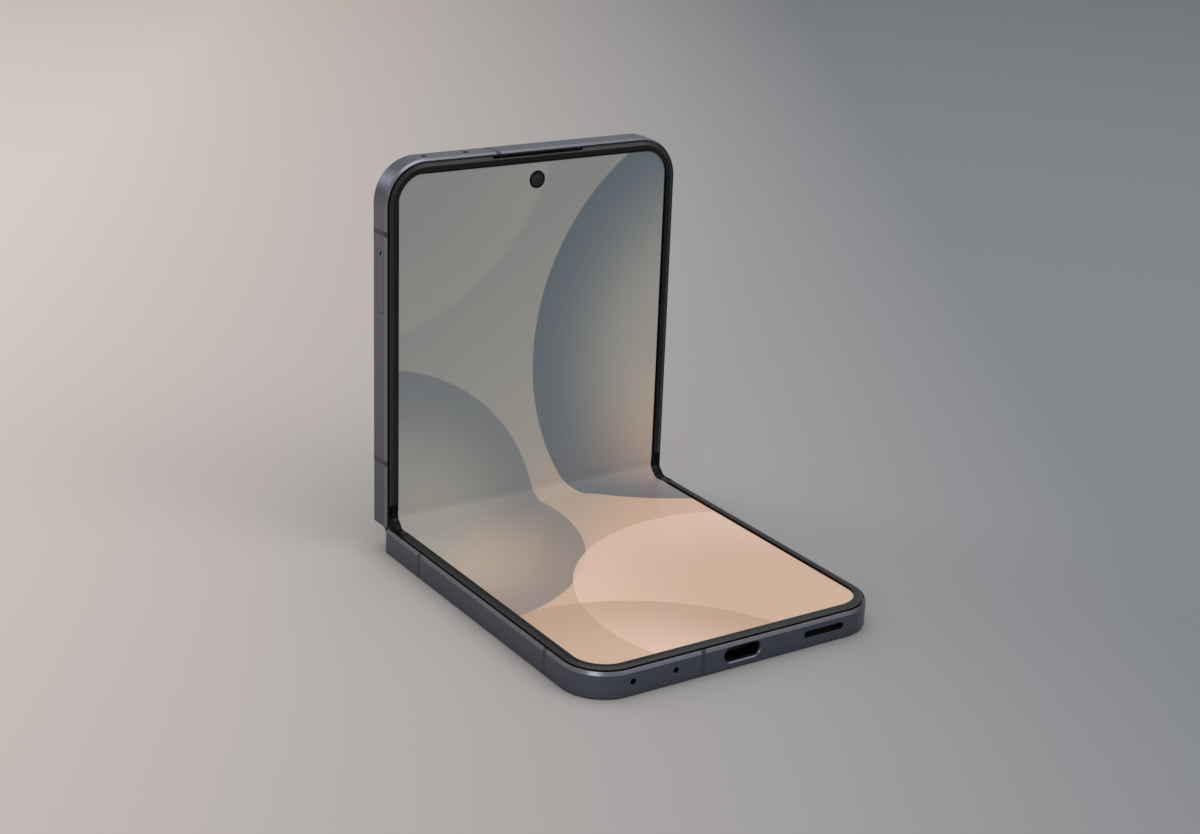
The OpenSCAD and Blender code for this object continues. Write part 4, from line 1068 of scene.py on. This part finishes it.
class PHONE_OT_stage(bpy.types.Operator):
    """Lays the floor, and sets the lamps, the world and the camera"""

    bl_idname = "phone.stage"
    bl_label = "Stage"

    def execute(self, context):
        shape = bmesh.new()
        bmesh.ops.create_circle(shape, cap_ends=True, segments=96, radius=FLOOR_RADIUS)
        mesh = bpy.data.meshes.new("studio_floor")
        shape.to_mesh(mesh)
        shape.free()
        floor = bpy.data.objects.new("studio_floor", mesh)
        floor.location.z = min(CAD_BOUNDS[0][2], 0.0) - FLOOR_DROP
        context.scene.collection.objects.link(floor)
        # Painted studio floor, matt. It isn't plain: it goes from a pale warm grey to a darker cool
        # grey, after the photograph's background
        material, tree, shader, place = start_material("studio_floor_painted")
        tint = self.warm_to_cool(tree, place, FLOOR_CHANGE)
        tree.links.new(tint, shader.inputs["Base Color"])
        shader.inputs["Roughness"].default_value = 0.8
        shader.inputs["Specular IOR Level"].default_value = 0.1
        mesh.materials.append(material)
        self.lamps(context)
        self.world(context)
        self.camera(context)
        return {"FINISHED"}

    def lamps(self, context):
        """Soft boxes, a little warm, each aimed at the phone."""
        for name, place, size, power in LAMPS:
            lamp = bpy.data.lights.new(name, "AREA")
            lamp.shape, lamp.size, lamp.energy = "SQUARE", size, power
            lamp.color = LAMP_TINT
            box = bpy.data.objects.new(name, lamp)
            box.location = place
            box.rotation_euler = (LAMP_AIM - box.location).to_track_quat("-Z", "Y").to_euler()
            context.scene.collection.objects.link(box)

    def warm_to_cool(self, tree, place, reach):
        """The floor's colours: pale and warm on the left, darker and cool on the right."""
        right = add(
            tree, "ShaderNodeVectorMath", {0: place, 1: VIEW_RIGHT}, operation="DOT_PRODUCT"
        ).outputs["Value"]
        least, most = reach
        share = add(
            tree, "ShaderNodeMapRange", {"Value": right, "From Min": least, "From Max": most}
        ).outputs[0]
        warm, cool = rgba(colours().floor_warm), rgba(colours().floor_cool)
        tint = add(tree, "ShaderNodeMix", {0: share, 6: warm, 7: cool}, data_type="RGBA")
        return tint.outputs[2]

    def world(self, context):
        """A pale studio all round, which nears the floor's tone where it meets the floor."""
        world = context.scene.world or bpy.data.worlds.new("studio")
        context.scene.world = world
        world.use_nodes = True
        tree = world.node_tree
        tree.nodes.clear()
        towards = add(tree, "ShaderNodeTexCoord").outputs["Generated"]
        up = add(tree, "ShaderNodeSeparateXYZ", {0: towards}).outputs[2]
        above = add(
            tree,
            "ShaderNodeMapRange",
            {"Value": up, "From Min": 0.0, "From Max": HORIZON_TOP},
            interpolation_type="SMOOTHSTEP",
        ).outputs[0]
        tint = self.warm_to_cool(tree, towards, HORIZON_CHANGE)
        horizon = add(
            tree, "ShaderNodeVectorMath", {0: tint, "Scale": HORIZON_SHARE}, operation="SCALE"
        ).outputs[0]
        light = add(
            tree, "ShaderNodeMix", {0: above, 6: horizon, 7: STUDIO_LIGHT}, data_type="RGBA"
        ).outputs[2]
        sky = add(tree, "ShaderNodeBackground", {"Color": light})
        add(tree, "ShaderNodeOutputWorld", {"Surface": sky.outputs[0]})

    def camera(self, context):
        """The photograph's view."""
        lens = bpy.data.cameras.new("view")
        lens.sensor_width, lens.lens = 36, VIEW_LENS
        view = bpy.data.objects.new("view", lens)
        turn = Matrix(VIEW_AXES).transposed().to_4x4()
        view.matrix_world = Matrix.Translation(VIEW_PLACE) @ turn
        context.scene.collection.objects.link(view)
        context.scene.camera = view
        context.scene.view_settings.view_transform = "Standard"


class PHONE_PT_panel(bpy.types.Panel):
    """Lists the steps in the 3D view's sidebar"""

    bl_idname = "PHONE_PT_panel"
    bl_label = "Foldable phone"
    bl_space_type = "VIEW_3D"
    bl_region_type = "UI"
    bl_category = "Phone"

    def draw(self, context):
        for step in STEPS:
            self.layout.operator(step.bl_idname)
        for group in (context.scene.phone_sizes, context.scene.phone_colours):
            for name in group.bl_rna.properties.keys():
                if name not in ("rna_type", "name"):
                    self.layout.prop(group, name)


STEPS = (
    PHONE_OT_frames,
    PHONE_OT_screen,
    PHONE_OT_backs,
    PHONE_OT_cameras,
    PHONE_OT_ports,
    PHONE_OT_hinge,
    PHONE_OT_inside,
    PHONE_OT_stage,
)
CLASSES = (PhoneSizes, PhoneColours) + STEPS + (PHONE_PT_panel,)


def register():
    for each in CLASSES:
        bpy.utils.register_class(each)
    bpy.types.Scene.phone_sizes = bpy.props.PointerProperty(type=PhoneSizes)
    bpy.types.Scene.phone_colours = bpy.props.PointerProperty(type=PhoneColours)


def unregister():
    del bpy.types.Scene.phone_colours
    del bpy.types.Scene.phone_sizes
    for each in reversed(CLASSES):
        bpy.utils.unregister_class(each)


def main():
    register()
    for step in STEPS:
        category, name = step.bl_idname.split(".")
        getattr(getattr(bpy.ops, category), name)()


if __name__ == "__main__":
    main()
